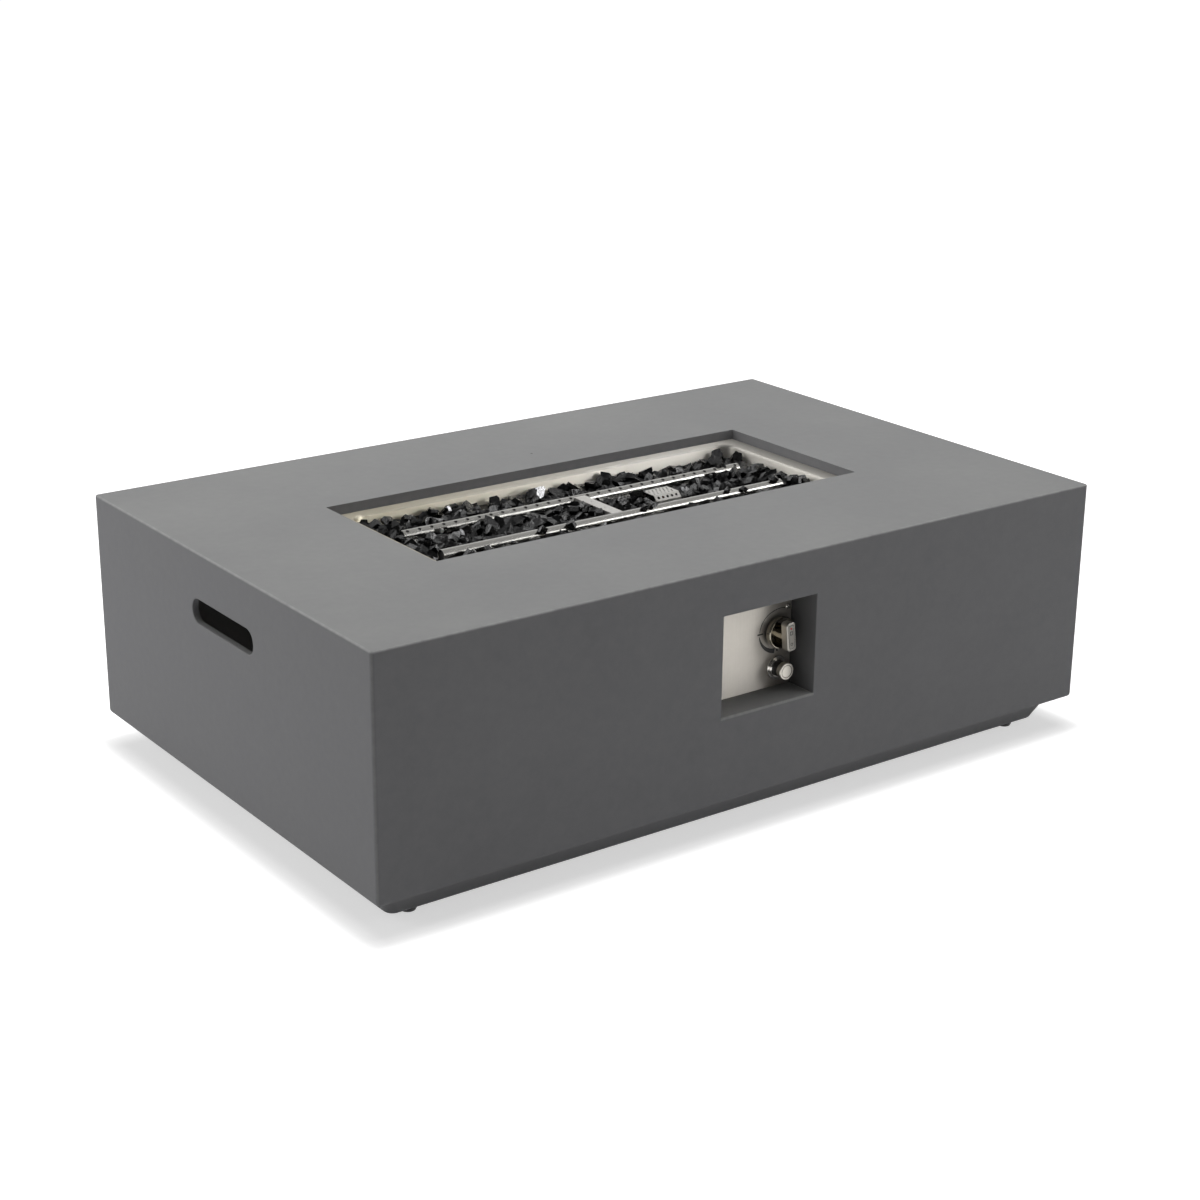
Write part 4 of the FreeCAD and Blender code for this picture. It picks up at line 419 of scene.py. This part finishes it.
def brushed_metal(name, low, high, stretch, rough, amount=0.45, bump=0.00002, spread=0.0,
                  lines=(1.0, 0.0, 0.0), metal=1.0, flat=1.0, left=None):
    """Metal with drawn lines: low and high colours, a roughness range, reflections that spread
    across the direction of the lines, painted shade that keeps a share of its colour where it
    faces up, and a painted shade tint that fades in towards its left end."""
    left_shade_start, left_shade_full = 0.14, -0.30
    material, tree, shader, place = blank_material(name)
    grain = grain_at(tree, place, stretch, amount)
    clouds = clouds_at(tree, place, 9.0, 120.0)
    shade = add(tree, "ShaderNodeMix", {
        "Factor": 0.4, "A": grain["Tone"], "B": clouds["Tone"]},
        data_type="FLOAT").outputs["Result"]
    colour = between(tree, shade, low, high)
    # Painted shade: a tint that darkens it towards its left end
    if left:
        left_shade = ramp(tree, split(tree, place)["X"], left_shade_start, left_shade_full)
        colour = tint(tree, left_shade, colour, left, "MULTIPLY")
    # Painted shade where it faces up
    if flat < 1.0:
        upward_shade = ramp(tree, facing(tree)["Z"], 0.05, 0.45)
        colour = tint(tree, upward_shade, colour, (flat, flat, flat), "MULTIPLY")
    paint(tree, shader, colour, range_of(tree, grain["Tone"], *rough))
    shader.inputs["Metallic"].default_value = metal
    if spread:
        shader.inputs["Anisotropic"].default_value = spread
        along = add(tree, "ShaderNodeCombineXYZ", dict(enumerate(lines)))
        tree.links.new(along.outputs["Vector"], shader.inputs["Tangent"])
    raise_bump(tree, shader, grain["Height"], bump)
    return material


def tube_finish():
    """Brushed tube with a dark ring round each port: heat tint, and painted shade for the
    port's hole. The ports stand at one spacing on both sides of the middle, on a line that
    leans inwards from the tube's top."""
    first, pitch, tilt = 0.016, 0.021, math.radians(28)
    ring_edge, ring_core = 0.0031, 0.0019
    low, high = box_array("burner_back_tube")
    radius = (high[1] - low[1]) / 2
    across = (low[1] + high[1]) / 2 - radius * math.sin(tilt)
    up = (low[2] + high[2]) / 2 + radius * math.cos(tilt)

    def port_shade_rings(tree):
        place = add(tree, "ShaderNodeTexCoord").outputs["Object"]
        part = split(tree, vector(tree, "ABSOLUTE", place))
        along = maths(tree, "PINGPONG", maths(tree, "SUBTRACT", part["X"], first), pitch / 2)
        off = add(tree, "ShaderNodeCombineXYZ", {"X": along, "Y": part["Y"], "Z": part["Z"]})
        away = measure(tree, "DISTANCE", off.outputs["Vector"], (0.0, across, up))
        return ramp(tree, away, ring_edge, ring_core)

    tube = brushed_metal("tube_steel", (0.45, 0.44, 0.415), (0.58, 0.57, 0.54),
                         (14.0, 420.0, 420.0), (0.16, 0.26))
    return repaint(tube, port_shade_rings, (0.03, 0.028, 0.026))


def pale_sheet(name):
    """Pale brushed sheet, as on the hood and the cross tube."""
    return brushed_metal(name, (0.60, 0.585, 0.555), (0.74, 0.725, 0.69),
                         (300.0, 20.0, 300.0), (0.30, 0.42), metal=0.8)


def hood_finish():
    """Pale sheet outside, and near black where a face looks back to the hood's middle: soot and
    painted shade.
    """
    low, high = box_array("pilot_hood")

    def soot_and_shade_inside(tree):
        place = add(tree, "ShaderNodeTexCoord").outputs
        out = vector(tree, "SUBTRACT", place["Object"], tuple((low + high) / 2))
        return maths(tree, "LESS_THAN", measure(tree, "DOT_PRODUCT", out, place["Normal"]), 0.0)

    return repaint(pale_sheet("hood_steel"), soot_and_shade_inside, (0.02, 0.02, 0.02))


def clouded(name, low, high, rough, size, fine, bump, strength):
    """A material whose colour and roughness follow faint clouds, and its shader."""
    material, tree, shader, place = blank_material(name)
    clouds = clouds_at(tree, place, size, fine)
    paint(tree, shader, between(tree, clouds["Tone"], low, high),
          range_of(tree, clouds["Tone"], *rough))
    raise_bump(tree, shader, clouds["Height"], bump, strength)
    return material, shader


def cast_metal(name, low, high, rough, bump=0.00003):
    """Plated or machined metal with a faint uneven sheen."""
    material, shader = clouded(name, low, high, rough, 60.0, 900.0, bump, 0.4)
    shader.inputs["Metallic"].default_value = 1.0
    return material


def moulded(name, low, high, rough, bump=0.00004, coat=0.0):
    """Moulded plastic or rubber with a light pebbled skin."""
    material, shader = clouded(name, low, high, rough, 40.0, 1400.0, bump, 0.5)
    shader.inputs["Coat Weight"].default_value = coat
    return material


def knob_finish(face_y):
    """One casting: a smoked bright skirt, and a satin grip in front of the plane y = face_y
    whose rim round the insert, where it faces the front, is darkened by painted shade."""
    material, tree, shader, place = blank_material("knob_plating")
    on_grip = ramp(tree, split(tree, place)["Y"], face_y, face_y - 0.0006)
    grain = grain_at(tree, place, (900.0, 900.0, 60.0))
    skirt = between(tree, grain["Tone"], (0.30, 0.275, 0.225), (0.37, 0.34, 0.285))
    grip = between(tree, grain["Tone"], (0.48, 0.46, 0.425), (0.60, 0.575, 0.535))
    # Painted shade on the grip's faces that look to the front
    rim = ramp(tree, facing(tree)["Y"], -0.5, -0.9)
    grip = tint(tree, rim, grip, (0.26, 0.25, 0.225))
    tone = add(tree, "ShaderNodeMix", {"Factor": on_grip, "A": skirt, "B": grip},
               data_type="RGBA")
    paint(tree, shader, tone.outputs["Result"], range_of(tree, on_grip, 0.13, 0.38))
    shader.inputs["Metallic"].default_value = 1.0
    raise_bump(tree, shader, grain["Height"], 0.00001)
    return material


def cap_finish(node):
    """Satin chrome with a dark ring on the cap's face, round the cap's own axis: painted shade
    for a groove.
    """
    groove_edge, groove_core, ring_share = 0.0006, 0.0003, 0.36
    low, high = box_array(node)
    middle = (low + high) / 2

    def groove_shade(tree):
        place = add(tree, "ShaderNodeTexCoord").outputs["Object"]
        at = vector(tree, "SUBTRACT", place, (middle[0], low[1], middle[2]))
        away = measure(tree, "LENGTH", vector(tree, "MULTIPLY", at, (1.0, 0.0, 1.0)))
        off = maths(tree, "SUBTRACT", away, (high[0] - low[0]) * ring_share)
        return ramp(tree, maths(tree, "ABSOLUTE", off), groove_edge, groove_core)

    cap = cast_metal("satin_chrome", (0.58, 0.55, 0.495), (0.66, 0.63, 0.575), (0.34, 0.42),
                     0.00001)
    return repaint(cap, groove_shade, (0.10, 0.09, 0.075))


def fire_glass_finish():
    """Black broken glass: each chunk has its own shade, and the skin runs from glossy to dull
    over a few millimetres, with faint ripples."""
    material, tree, shader, place = blank_material("black_fire_glass")
    own = add(tree, "ShaderNodeAttribute", attribute_name="shade").outputs["Fac"]
    ripple = add(tree, "ShaderNodeTexNoise", {
        "Vector": place, "Scale": 190.0, "Detail": 4.0, "Roughness": 0.6}).outputs["Fac"]
    paint(tree, shader, between(tree, own, (0.0008, 0.0008, 0.0008), (0.009, 0.009, 0.0095)),
          ramp(tree, ripple, 0.35, 0.65, 0.02, 0.17))
    shader.inputs["IOR"].default_value = 1.52
    shader.inputs["Specular IOR Level"].default_value = 0.55
    raise_bump(tree, shader, ripple, 0.0016, 0.9)
    return material


def mirrored_glass_finish():
    """The silvered side of a piece of fire glass, slightly scuffed."""
    material, tree, shader, place = blank_material("mirrored_fire_glass")
    scuff = add(tree, "ShaderNodeTexNoise", {
        "Vector": place, "Scale": 420.0, "Detail": 4.0, "Roughness": 0.7}).outputs["Fac"]
    paint(tree, shader, between(tree, scuff, (0.42, 0.42, 0.43), (0.86, 0.86, 0.88)),
          range_of(tree, scuff, 0.05, 0.30))
    shader.inputs["Metallic"].default_value = 1.0
    raise_bump(tree, shader, scuff, 0.0002, 0.5)
    return material


# new surfaces

def mesh_of(name, points, faces, materials):
    """A mesh from an array of points and a list of faces."""
    mesh = bpy.data.meshes.new(name)
    mesh.from_pydata([tuple(p) for p in points.tolist()], [], [tuple(f) for f in faces])
    for material in materials:
        mesh.materials.append(material)
    return mesh


def put_on(body, mesh):
    """A new piece with this mesh and its name, riding on a body."""
    piece = bpy.data.objects.new(mesh.name, mesh)
    bpy.context.scene.collection.objects.link(piece)
    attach(piece, body)


def printed_line(name, inner, outer, seat, lift, ink, body, closed=False):
    """A flat mark of printed ink between two lines of points in a plane. At each pair of points
    its section is a rectangle, from the inner line to the outer and from the plane to a height
    of `lift`. The mark runs back to its start, or else it is closed at both ends. The seat is
    the plane's middle and its right, up and out directions."""
    middle, right, up, out = seat
    flat = np.stack([inner, outer, outer, inner], axis=1)
    height = np.array([0.0, 0.0, lift, lift])[None, :, None]
    points = middle + flat[..., :1] * right + flat[..., 1:] * up + height * out
    count = len(inner)
    ring = 4 * np.arange(count if closed else count - 1)[:, None]
    ahead = (ring + 4) % (4 * count)
    side = np.arange(4)[None, :]
    far = (side + 1) % 4
    faces = np.stack([ring + side, ring + far, ahead + far, ahead + side], axis=-1)
    faces = faces.reshape(-1, 4).tolist()
    if not closed:
        last = 4 * (count - 1)
        faces += [[3, 2, 1, 0], [last, last + 1, last + 2, last + 3]]
    put_on(body, mesh_of(name, points.reshape(-1, 3), faces, [ink]))


def random_turns(rng, count):
    """A random rotation matrix for each of count pieces, from unit quaternions."""
    q = rng.normal(size=(count, 4))
    q /= np.linalg.norm(q, axis=1, keepdims=True)
    w, x, y, z = q.T
    turn = np.stack([
        1 - 2 * (y * y + z * z), 2 * (x * y - z * w), 2 * (x * z + y * w),
        2 * (x * y + z * w), 1 - 2 * (x * x + z * z), 2 * (y * z - x * w),
        2 * (x * z - y * w), 2 * (y * z + x * w), 1 - 2 * (x * x + y * y)], axis=1)
    return turn.reshape(count, 3, 3)


SIDES = 6
CORNER = np.arange(SIDES)
NEXT = (CORNER + 1) % SIDES
CHUNK_WALLS = np.stack([CORNER, NEXT, SIDES + NEXT, SIDES + CORNER], axis=1)
CHUNK_ENDS = np.stack([CORNER[::-1], SIDES + CORNER])


def glass_chunks(name, centres, radii, finishes, seed, silvered=0.0, turns=None, tilt=0.34):
    """Broken glass. Each chunk is a crooked six-sided prism: its corners stand at uneven angles
    round an axis, on two tilted planes, each corner at its own distance from the axis. Then it
    is turned, at random if no turns are given. One flat end of a share of them is silvered."""
    rng = np.random.default_rng(seed)
    count = len(centres)
    angle = (CORNER + rng.uniform(-0.34, 0.34, (count, SIDES))) * 2 * math.pi / SIDES
    ends = []
    for side in (-1, 1):
        out = rng.uniform(0.72, 1.16, (count, SIDES)) * rng.uniform(0.78, 1.0, (count, 1))
        flat = np.stack([np.cos(angle), np.sin(angle)], axis=2) * out[..., None]
        slope = rng.uniform(-tilt, tilt, (count, 1, 2))
        high = side * rng.uniform(0.42, 0.78, (count, 1)) + (flat * slope).sum(axis=2)
        ends.append(np.concatenate([flat, high[..., None]], axis=2))
    points = np.concatenate(ends, axis=1) * rng.uniform(0.82, 1.12, (count, 1, 3))
    turns = random_turns(rng, count) if turns is None else turns
    points = np.einsum("nij,npj->npi", turns, points)
    points = points * radii[:, None, None] + centres[:, None, :]
    start = 2 * SIDES * np.arange(count)[:, None, None]
    walls = (CHUNK_WALLS[None] + start).reshape(-1, 4).tolist()
    caps = (CHUNK_ENDS[None] + start).reshape(-1, SIDES).tolist()
    mesh = mesh_of(name, points.reshape(-1, 3), walls + caps, finishes)
    slot = np.zeros(len(walls) + len(caps), np.int32)
    slot[len(walls)::2] = rng.random(count) < silvered
    mesh.polygons.foreach_set("material_index", slot)
    shade = mesh.attributes.new("shade", "FLOAT", "POINT")
    shade.data.foreach_set(
        "value", np.repeat(rng.random(count) ** 2, 2 * SIDES).astype(np.float32))
    put_on("table", mesh)


# the fire glass

BED_LOW, BED_HIGH = box_array("rock_bed")
TUBE_LOW, TUBE_HIGH = box_array("burner_front_tube")
TUBE_Y = abs((TUBE_LOW[1] + TUBE_HIGH[1]) / 2)
HOOD_LOW, HOOD_HIGH = box_array("pilot_hood")
STAND_HIGH = box_array("burner_stands")[1]
STAND_HALF_WIDTH = 0.010
LEVEL = BED_HIGH[2] - 0.004


def bed_lift(x, y):
    """How far the glass is heaped above its mean level: at both ends, in the back left corner
    and in slow swells."""
    end_heap, corner_heap, swell_height = 0.002, 0.004, 0.0018
    ends = np.clip((np.abs(x) - 0.315) / 0.03, 0, 1)
    corner = np.clip((-0.14 - x) / 0.05, 0, 1) * np.clip((y - 0.07) / 0.03, 0, 1)
    swell = np.sin(33 * x + 1.3) * np.cos(23 * y - 0.4 + 9 * x)
    return end_heap * ends + corner_heap * corner + swell_height * swell


def scatter(rng, pitch, reach_x, reach_y):
    """Points on a staggered grid, each moved at random by up to 0.4 of the pitch."""
    columns = np.arange(-reach_x, reach_x, pitch)
    rows = np.arange(-reach_y, reach_y, pitch * 0.87)
    x, y = np.meshgrid(columns, rows)
    x = x + (np.arange(len(rows)) % 2)[:, None] * pitch / 2
    x = x + rng.uniform(-0.4, 0.4, x.shape) * pitch
    y = y + rng.uniform(-0.4, 0.4, y.shape) * pitch
    x, y = x.ravel(), y.ravel()
    keep = (np.abs(x) < reach_x) & (np.abs(y) < reach_y)
    return x[keep], y[keep]


def push_in(x, y, radii, share):
    """Points near the pan's walls moved off them by a share of their radius."""
    return (np.clip(x, BED_LOW[0] + share * radii, BED_HIGH[0] - share * radii),
            np.clip(y, BED_LOW[1] + share * radii, BED_HIGH[1] - share * radii))


def clear_of_burner(centres, radii, room=0.82):
    """Which chunks miss the tubes, the cross tube and its nipple, the hood and the stands, if
    each takes up a share `room` of its radius."""
    hood_flange, stand_wall = 0.0095, 0.0015
    x, y, z = centres.T
    size = radii * room

    def within(values, low, high):
        return (values > low - size) & (values < high + size)

    hit = within(x, HOOD_LOW[0], HOOD_HIGH[0]) \
        & within(y, HOOD_LOW[1] + hood_flange, HOOD_HIGH[1] - hood_flange)
    for tube in ("burner_front_tube", "burner_back_tube"):
        low, high = box_array(tube)
        middle = (low + high) / 2
        away = np.hypot(y - middle[1], z - middle[2])
        hit |= (np.abs(x) < high[0] + size) & (away < (high[1] - low[1]) / 2 + size)
    for node in ("burner_cross_tube", "burner_inlet_nipple"):
        low, high = box_array(node)
        hit |= within(x, low[0], high[0]) & within(y, low[1], high[1]) \
            & within(z, low[2], high[2])
    for side in (-1, 1):
        for end in (-1, 1):
            off_x = np.abs(x - end * (STAND_HIGH[0] - STAND_HALF_WIDTH))
            off_y = np.abs(y - side * (STAND_HIGH[1] - stand_wall / 2))
            hit |= (off_x < STAND_HALF_WIDTH + size) \
                & (off_y < stand_wall / 2 + size * 0.7) & (z < STAND_HIGH[2] + size)
    return ~hit


def top_layer(rng, finishes):
    """A chunk at each place of a staggered grid, sunk by a share of its radius, or hung below
    the tube that passes over it."""
    x, y = scatter(rng, 0.0165, BED_HIGH[0], BED_HIGH[1])
    radii = rng.uniform(0.0088, 0.0132, len(x))
    x, y = push_in(x, y, radii, 0.95)
    z = LEVEL + bed_lift(x, y) - radii * 0.40 + rng.uniform(-0.002, 0.002, len(x))
    under = (np.abs(np.abs(y) - TUBE_Y) < 0.010) & (np.abs(x) < TUBE_HIGH[0] + 0.004)
    z = np.where(under, TUBE_LOW[2] - radii * 0.98, z)
    centres = np.stack([x, y, z], axis=1)
    keep = clear_of_burner(centres, radii)
    glass_chunks("fire_glass_top", centres[keep], radii[keep], finishes, 7)


def deep_lot(rng, finishes):
    """Chunks lower down, in the gaps round the hood, the inlet's nut and the stands."""
    margin = 0.004
    x, y = scatter(rng, 0.0150, BED_HIGH[0] - margin, BED_HIGH[1] - margin)
    radii = rng.uniform(0.0080, 0.0110, len(x))
    z = np.full(len(x), LEVEL - 0.0145) + rng.uniform(-0.002, 0.002, len(x))
    centres = np.stack([x, y, z], axis=1)
    by_hood = (x > HOOD_LOW[0] - margin) & (x < HOOD_HIGH[0] + margin) \
        & (y > HOOD_LOW[1] - margin) & (y < HOOD_HIGH[1] + margin)
    by_nut = np.hypot(x, y) < 0.024
    by_stand = (np.abs(np.abs(x) - (STAND_HIGH[0] - STAND_HALF_WIDTH)) < 0.014) \
        & (np.abs(y) < STAND_HIGH[1] + 0.002) & (np.abs(y) > STAND_HIGH[1] - 0.024)
    keep = clear_of_burner(centres, radii) & (by_hood | by_nut | by_stand)
    glass_chunks("fire_glass_deep", centres[keep], radii[keep], finishes, 8)


def loose_lot(rng, finishes):
    """Chunks heaped on the top layer, at half of the places of a wider grid or fewer."""
    x, y = scatter(rng, 0.0215, BED_HIGH[0], BED_HIGH[1])
    radii = rng.uniform(0.0080, 0.0125, len(x))
    x, y = push_in(x, y, radii, 1.0)
    lucky = rng.random(len(x)) < np.where(np.abs(y) > TUBE_Y, 0.42, 0.50)
    z = LEVEL + bed_lift(x, y) + radii * 0.34 + rng.uniform(-0.001, 0.0025, len(x))
    centres = np.stack([x, y, z], axis=1)
    keep = clear_of_burner(centres, radii, 0.93) & lucky
    glass_chunks("fire_glass_loose", centres[keep], radii[keep], finishes, 9, silvered=0.02)


def lot_on_tubes(rng, finishes):
    """Chunks that lie on the tubes: their x, their tube (-1 front, 1 back), and how far off
    its crest they have slid, as a share of its radius."""
    tube_radius, slide_drop = 0.009, 0.005
    x, tube, slide = np.array([
        [-0.148, -1, -0.9], [-0.096, -1, -1.1], [0.044, -1, -0.7], [0.061, -1, -0.4],
        [0.206, -1, -0.7], [0.236, -1, -1.0], [0.300, -1, -0.4], [0.286, 1, 0.6]]).T
    radii = rng.uniform(0.0070, 0.0100, len(x))
    y = tube * TUBE_Y + slide * tube_radius
    z = TUBE_HIGH[2] + radii * 0.62 - slide_drop * np.abs(slide)
    glass_chunks("fire_glass_on_tubes", np.stack([x, y, z], axis=1), radii, finishes, 10)


def lot_by_fittings(rng, finishes):
    """A row of chunks along the cross tube's left side, and two at the hood's left end."""
    cross_low, cross_high = box_array("burner_cross_tube")
    y = np.linspace(-0.030, 0.032, 5)
    radii = rng.uniform(0.0080, 0.0100, len(y))
    row = np.stack([cross_low[0] - radii * 0.95, y, cross_high[2] - radii * 0.55], axis=1)
    pair = np.array([[HOOD_LOW[0] - 0.009, 0.015, LEVEL + 0.009],
                     [HOOD_LOW[0] - 0.007, -0.011, LEVEL + 0.004]])
    glass_chunks("fire_glass_by_fittings", np.vstack([row, pair]),
                 np.append(radii, (0.0125, 0.0100)), finishes, 12)


def silvered_lot(finishes):
    """Chunks whose silvered ends look to the front: their x, y and radius, and the angle in
    degrees by which each leans back."""
    x, y, radii, lean = np.array([
        [-0.036, 0.112, 0.0165, 22], [0.337, -0.060, 0.0130, 16],
        [-0.197, 0.119, 0.0065, 30], [-0.106, 0.090, 0.0060, 12],
        [-0.236, 0.020, 0.0065, 38], [0.170, 0.010, 0.0060, 30]]).T
    lean = np.radians(lean)
    none = np.zeros(len(lean))
    turns = np.stack([none + 1, none, none, none, -np.sin(lean), np.cos(lean),
                      none, -np.cos(lean), -np.sin(lean)], axis=1).reshape(-1, 3, 3)
    centres = np.stack([x, y, LEVEL + bed_lift(x, y) + radii * 0.62], axis=1)
    glass_chunks("fire_glass_silvered", centres, radii, finishes, 11, silvered=1.0,
                 turns=turns, tilt=0.06)


def lay_fire_glass(glass):
    """Six lots of chunks over the solid bed. The lots share one run of random numbers."""
    rng = np.random.default_rng(41)
    finishes = [glass, mirrored_glass_finish()]
    for lay in (top_layer, deep_lot, loose_lot, lot_on_tubes, lot_by_fittings):
        lay(rng, finishes)
    silvered_lot(finishes)


# marks on plate and knob

def stem_axis():
    """Where the valve's stem stands, across and up."""
    low, high = box_array("valve_stem")
    return (low[0] + high[0]) / 2, (low[2] + high[2]) / 2


def dial_marks(ink):
    """The dial on the plate: a thin arc over the knob, a tick at OFF's left, a swelling
    crescent below it and a dot at its end. Angles are in degrees from the right, and each
    mark's inner and outer radii follow a share from 0 to 1 along it."""
    across, height = stem_axis()
    plate_front = box_array("control_plate")[0][1]
    right, forward, up = np.eye(3)
    seat = (np.array([across, plate_front, height]), right, up, -forward)
    lift = 0.00008

    def mark(name, start, finish, inner, outer, steps):
        angle = np.radians(np.linspace(start, finish, steps))
        share = np.linspace(0, 1, steps)
        turn = np.stack([np.cos(angle), np.sin(angle)], axis=1)
        printed_line(name, turn * inner(share)[:, None], turn * outer(share)[:, None], seat,
                     lift, ink, "table")

    def steady(radius):
        return lambda share: radius + 0 * share

    def swell(share):
        return 0.0313 + 0.004 * np.clip(share - 0.62, 0, 1) ** 1.5 * 4

    mark("dial_arc", 176, 66, swell, lambda share: swell(share) + 0.0012, 60)
    mark("dial_tick", 177.9, 182.1, steady(0.0255), steady(0.0362), 4)
    mark("dial_crescent", 186, 264, lambda share: 0.0325 - 0.0060 * share ** 0.8,
         lambda share: 0.0334 + 0.0008 * share, 40)
    mark("dial_dot", 270, 276.5, steady(0.0282), steady(0.0319), 4)


def rounded_outline(half_wide, half_tall, corner, steps=8):
    """Points round a rectangle with round corners, counter-clockwise from its right side."""
    quarter = np.linspace(0, math.pi / 2, steps)
    parts = []
    for k, (sx, sy) in enumerate(((1, 1), (-1, 1), (-1, -1), (1, -1))):
        angle = quarter + k * math.pi / 2
        parts.append(np.stack([sx * (half_wide - corner) + corner * np.cos(angle),
                               sy * (half_tall - corner) + corner * np.sin(angle)], axis=1))
    return np.vstack(parts)


def knob_marks(ink):
    """Generic marks on the grip's pale insert: a border line, a small frame and a ring."""
    across, height = stem_axis()
    insert_front = box_array("knob_face_insert")[0][1]
    lean = math.radians(5.5)
    right = np.array([math.cos(lean), 0, math.sin(lean)])
    up = np.array([-math.sin(lean), 0, math.cos(lean)])
    out = np.array([0, -1.0, 0])
    centre = np.array([across, insert_front, height])
    lift, least_corner = 0.00006, 0.0001

    def frame_line(name, rise, half_wide, half_tall, corner, width):
        """A line of constant width round a rounded rectangle, so far up from the stem."""
        outer = rounded_outline(half_wide, half_tall, corner)
        inner = rounded_outline(half_wide - width, half_tall - width,
                                max(corner - width, least_corner))
        printed_line(name, inner, outer, (centre + rise * up, right, up, out), lift, ink,
                     "knob", closed=True)

    frame_line("knob_border", 0, 0.0049, 0.0184, 0.0030, 0.0007)
    frame_line("knob_flame_box", 0.0058, 0.0027, 0.0029, 0.0007, 0.0010)
    frame_line("knob_low_ring", -0.0112, 0.0022, 0.0022, 0.0021, 0.0009)


# dressing the solids

def dress(material, *names):
    """Give CAD nodes a finish in place of the one they were packed with."""
    for name in names:
        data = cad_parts[name].data
        data.materials.clear()
        data.materials.append(material)


def dress_concrete_and_steel():
    """The casting, the pan, the burner's sheet and tube, and the control plate."""
    # Painted shade on the pan, where it faces up and towards its left end
    pan = brushed_metal("pan_steel", (0.88, 0.845, 0.77), (0.95, 0.92, 0.86),
                        (6.0, 520.0, 520.0), (0.54, 0.66), bump=0.00001, spread=0.8,
                        lines=(0.0, 0.3, 1.0), metal=0.75, flat=0.62,
                        left=(0.86, 0.83, 0.72))
    # Near-black end caps: painted shade for the dark inside of the tube ends
    end_cap_shade = brushed_metal("end_cap_shade_steel", (0.05, 0.05, 0.05), (0.12, 0.118, 0.115),
                         (300.0, 300.0, 300.0), (0.45, 0.65))
    plate = brushed_metal("plate_steel", (0.43, 0.405, 0.365), (0.55, 0.52, 0.475),
                          (900.0, 300.0, 9.0), (0.46, 0.58), amount=0.5, bump=0.000008,
                          spread=0.7, lines=(0.0, 0.0, 1.0), metal=0.6)
    dress(concrete_finish(), "concrete_shell")
    dress(pan, "burner_pan")
    dress(tube_finish(), "burner_front_tube", "burner_back_tube", "burner_stands",
          "pilot_bracket")
    dress(pale_sheet("strap_steel"), "burner_cross_tube")
    dress(hood_finish(), "pilot_hood")
    dress(end_cap_shade, "tube_end_caps")
    dress(plate, "control_plate")


def dress_fittings():
    """Screws, nuts, valve, knob, igniter cap and the other plated or machined metal."""
    zinc = cast_metal("zinc_plate", (0.55, 0.55, 0.54), (0.66, 0.66, 0.65), (0.28, 0.42))
    chrome = cast_metal("chrome_plate", (0.72, 0.70, 0.665), (0.80, 0.78, 0.745),
                        (0.14, 0.22), 0.000005)
    brass = cast_metal("machined_brass", (0.50, 0.33, 0.11), (0.62, 0.44, 0.17), (0.24, 0.4))
    copper = cast_metal("copper_sheath", (0.48, 0.22, 0.11), (0.60, 0.30, 0.17), (0.25, 0.4))
    skirt_depth = 0.0128
    dress(zinc, "tube_screws", "burner_screws", "burner_nuts", "burner_inlet_nipple",
          "inlet_locknuts", "air_mixer", "valve_screws", "stem_spring", "igniter_spring",
          "spark_electrode", *[f"foot_stud_{n}" for n in range(1, 5)])
    dress(chrome, "plate_screws", "igniter_nut")
    dress(cap_finish("igniter_button"), "igniter_button")
    dress(brass, "foot_inserts", "orifice_elbow", "gas_valve_body", "valve_plug", "valve_stem",
          "igniter_terminal", "gas_inlet_fitting", "gas_inlet_locknut", "supply_pipe_nuts",
          "feed_hose_nuts", "thermocouple_nut")
    dress(copper, "thermocouple_probe", "thermocouple_lead")
    dress(knob_finish(box_array("knob")[0][1] + skirt_depth), "knob")


def dress_moulded_pieces():
    """Plastic, rubber, ceramic and coated pieces."""
    black = moulded("black_plastic", (0.012, 0.012, 0.012), (0.022, 0.022, 0.022),
                    (0.30, 0.45))
    rubber = moulded("hose_rubber", (0.014, 0.014, 0.014), (0.026, 0.026, 0.026), (0.5, 0.7))
    nylon = moulded("foot_nylon", (0.010, 0.010, 0.010), (0.02, 0.02, 0.02), (0.35, 0.55))
    yellow = moulded("pipe_coating", (0.50, 0.36, 0.04), (0.60, 0.45, 0.07), (0.3, 0.45),
                     coat=0.3)
    pale = moulded("pale_insert", (0.54, 0.51, 0.455), (0.62, 0.59, 0.53), (0.32, 0.44))
    red = moulded("red_mark", (0.52, 0.03, 0.02), (0.62, 0.05, 0.03), (0.3, 0.4), coat=0.2)
    white = moulded("white_ceramic", (0.70, 0.69, 0.64), (0.78, 0.77, 0.72), (0.25, 0.4))
    sleeve = moulded("cell_sleeve", (0.03, 0.03, 0.035), (0.05, 0.05, 0.055), (0.2, 0.3),
                     coat=0.4)
    dress(black, "igniter_housing", "igniter_plunger")
    dress(rubber, "feed_hose", "ignition_lead")
    dress(nylon, *[f"foot_pad_{n}" for n in range(1, 5)])
    dress(yellow, "supply_pipe")
    dress(pale, "knob_face_insert")
    dress(red, "knob_dot")
    dress(white, "electrode_insulator")
    dress(sleeve, "aa_battery")


camera_seat()
studio()
floor()
glass = fire_glass_finish()
lay_fire_glass(glass)
dress(glass, "rock_bed")
dress_concrete_and_steel()
dress_fittings()
dress_moulded_pieces()
ink = moulded("black_ink", (0.012, 0.012, 0.012), (0.02, 0.02, 0.02), (0.4, 0.55))
dial_marks(ink)
knob_marks(ink)
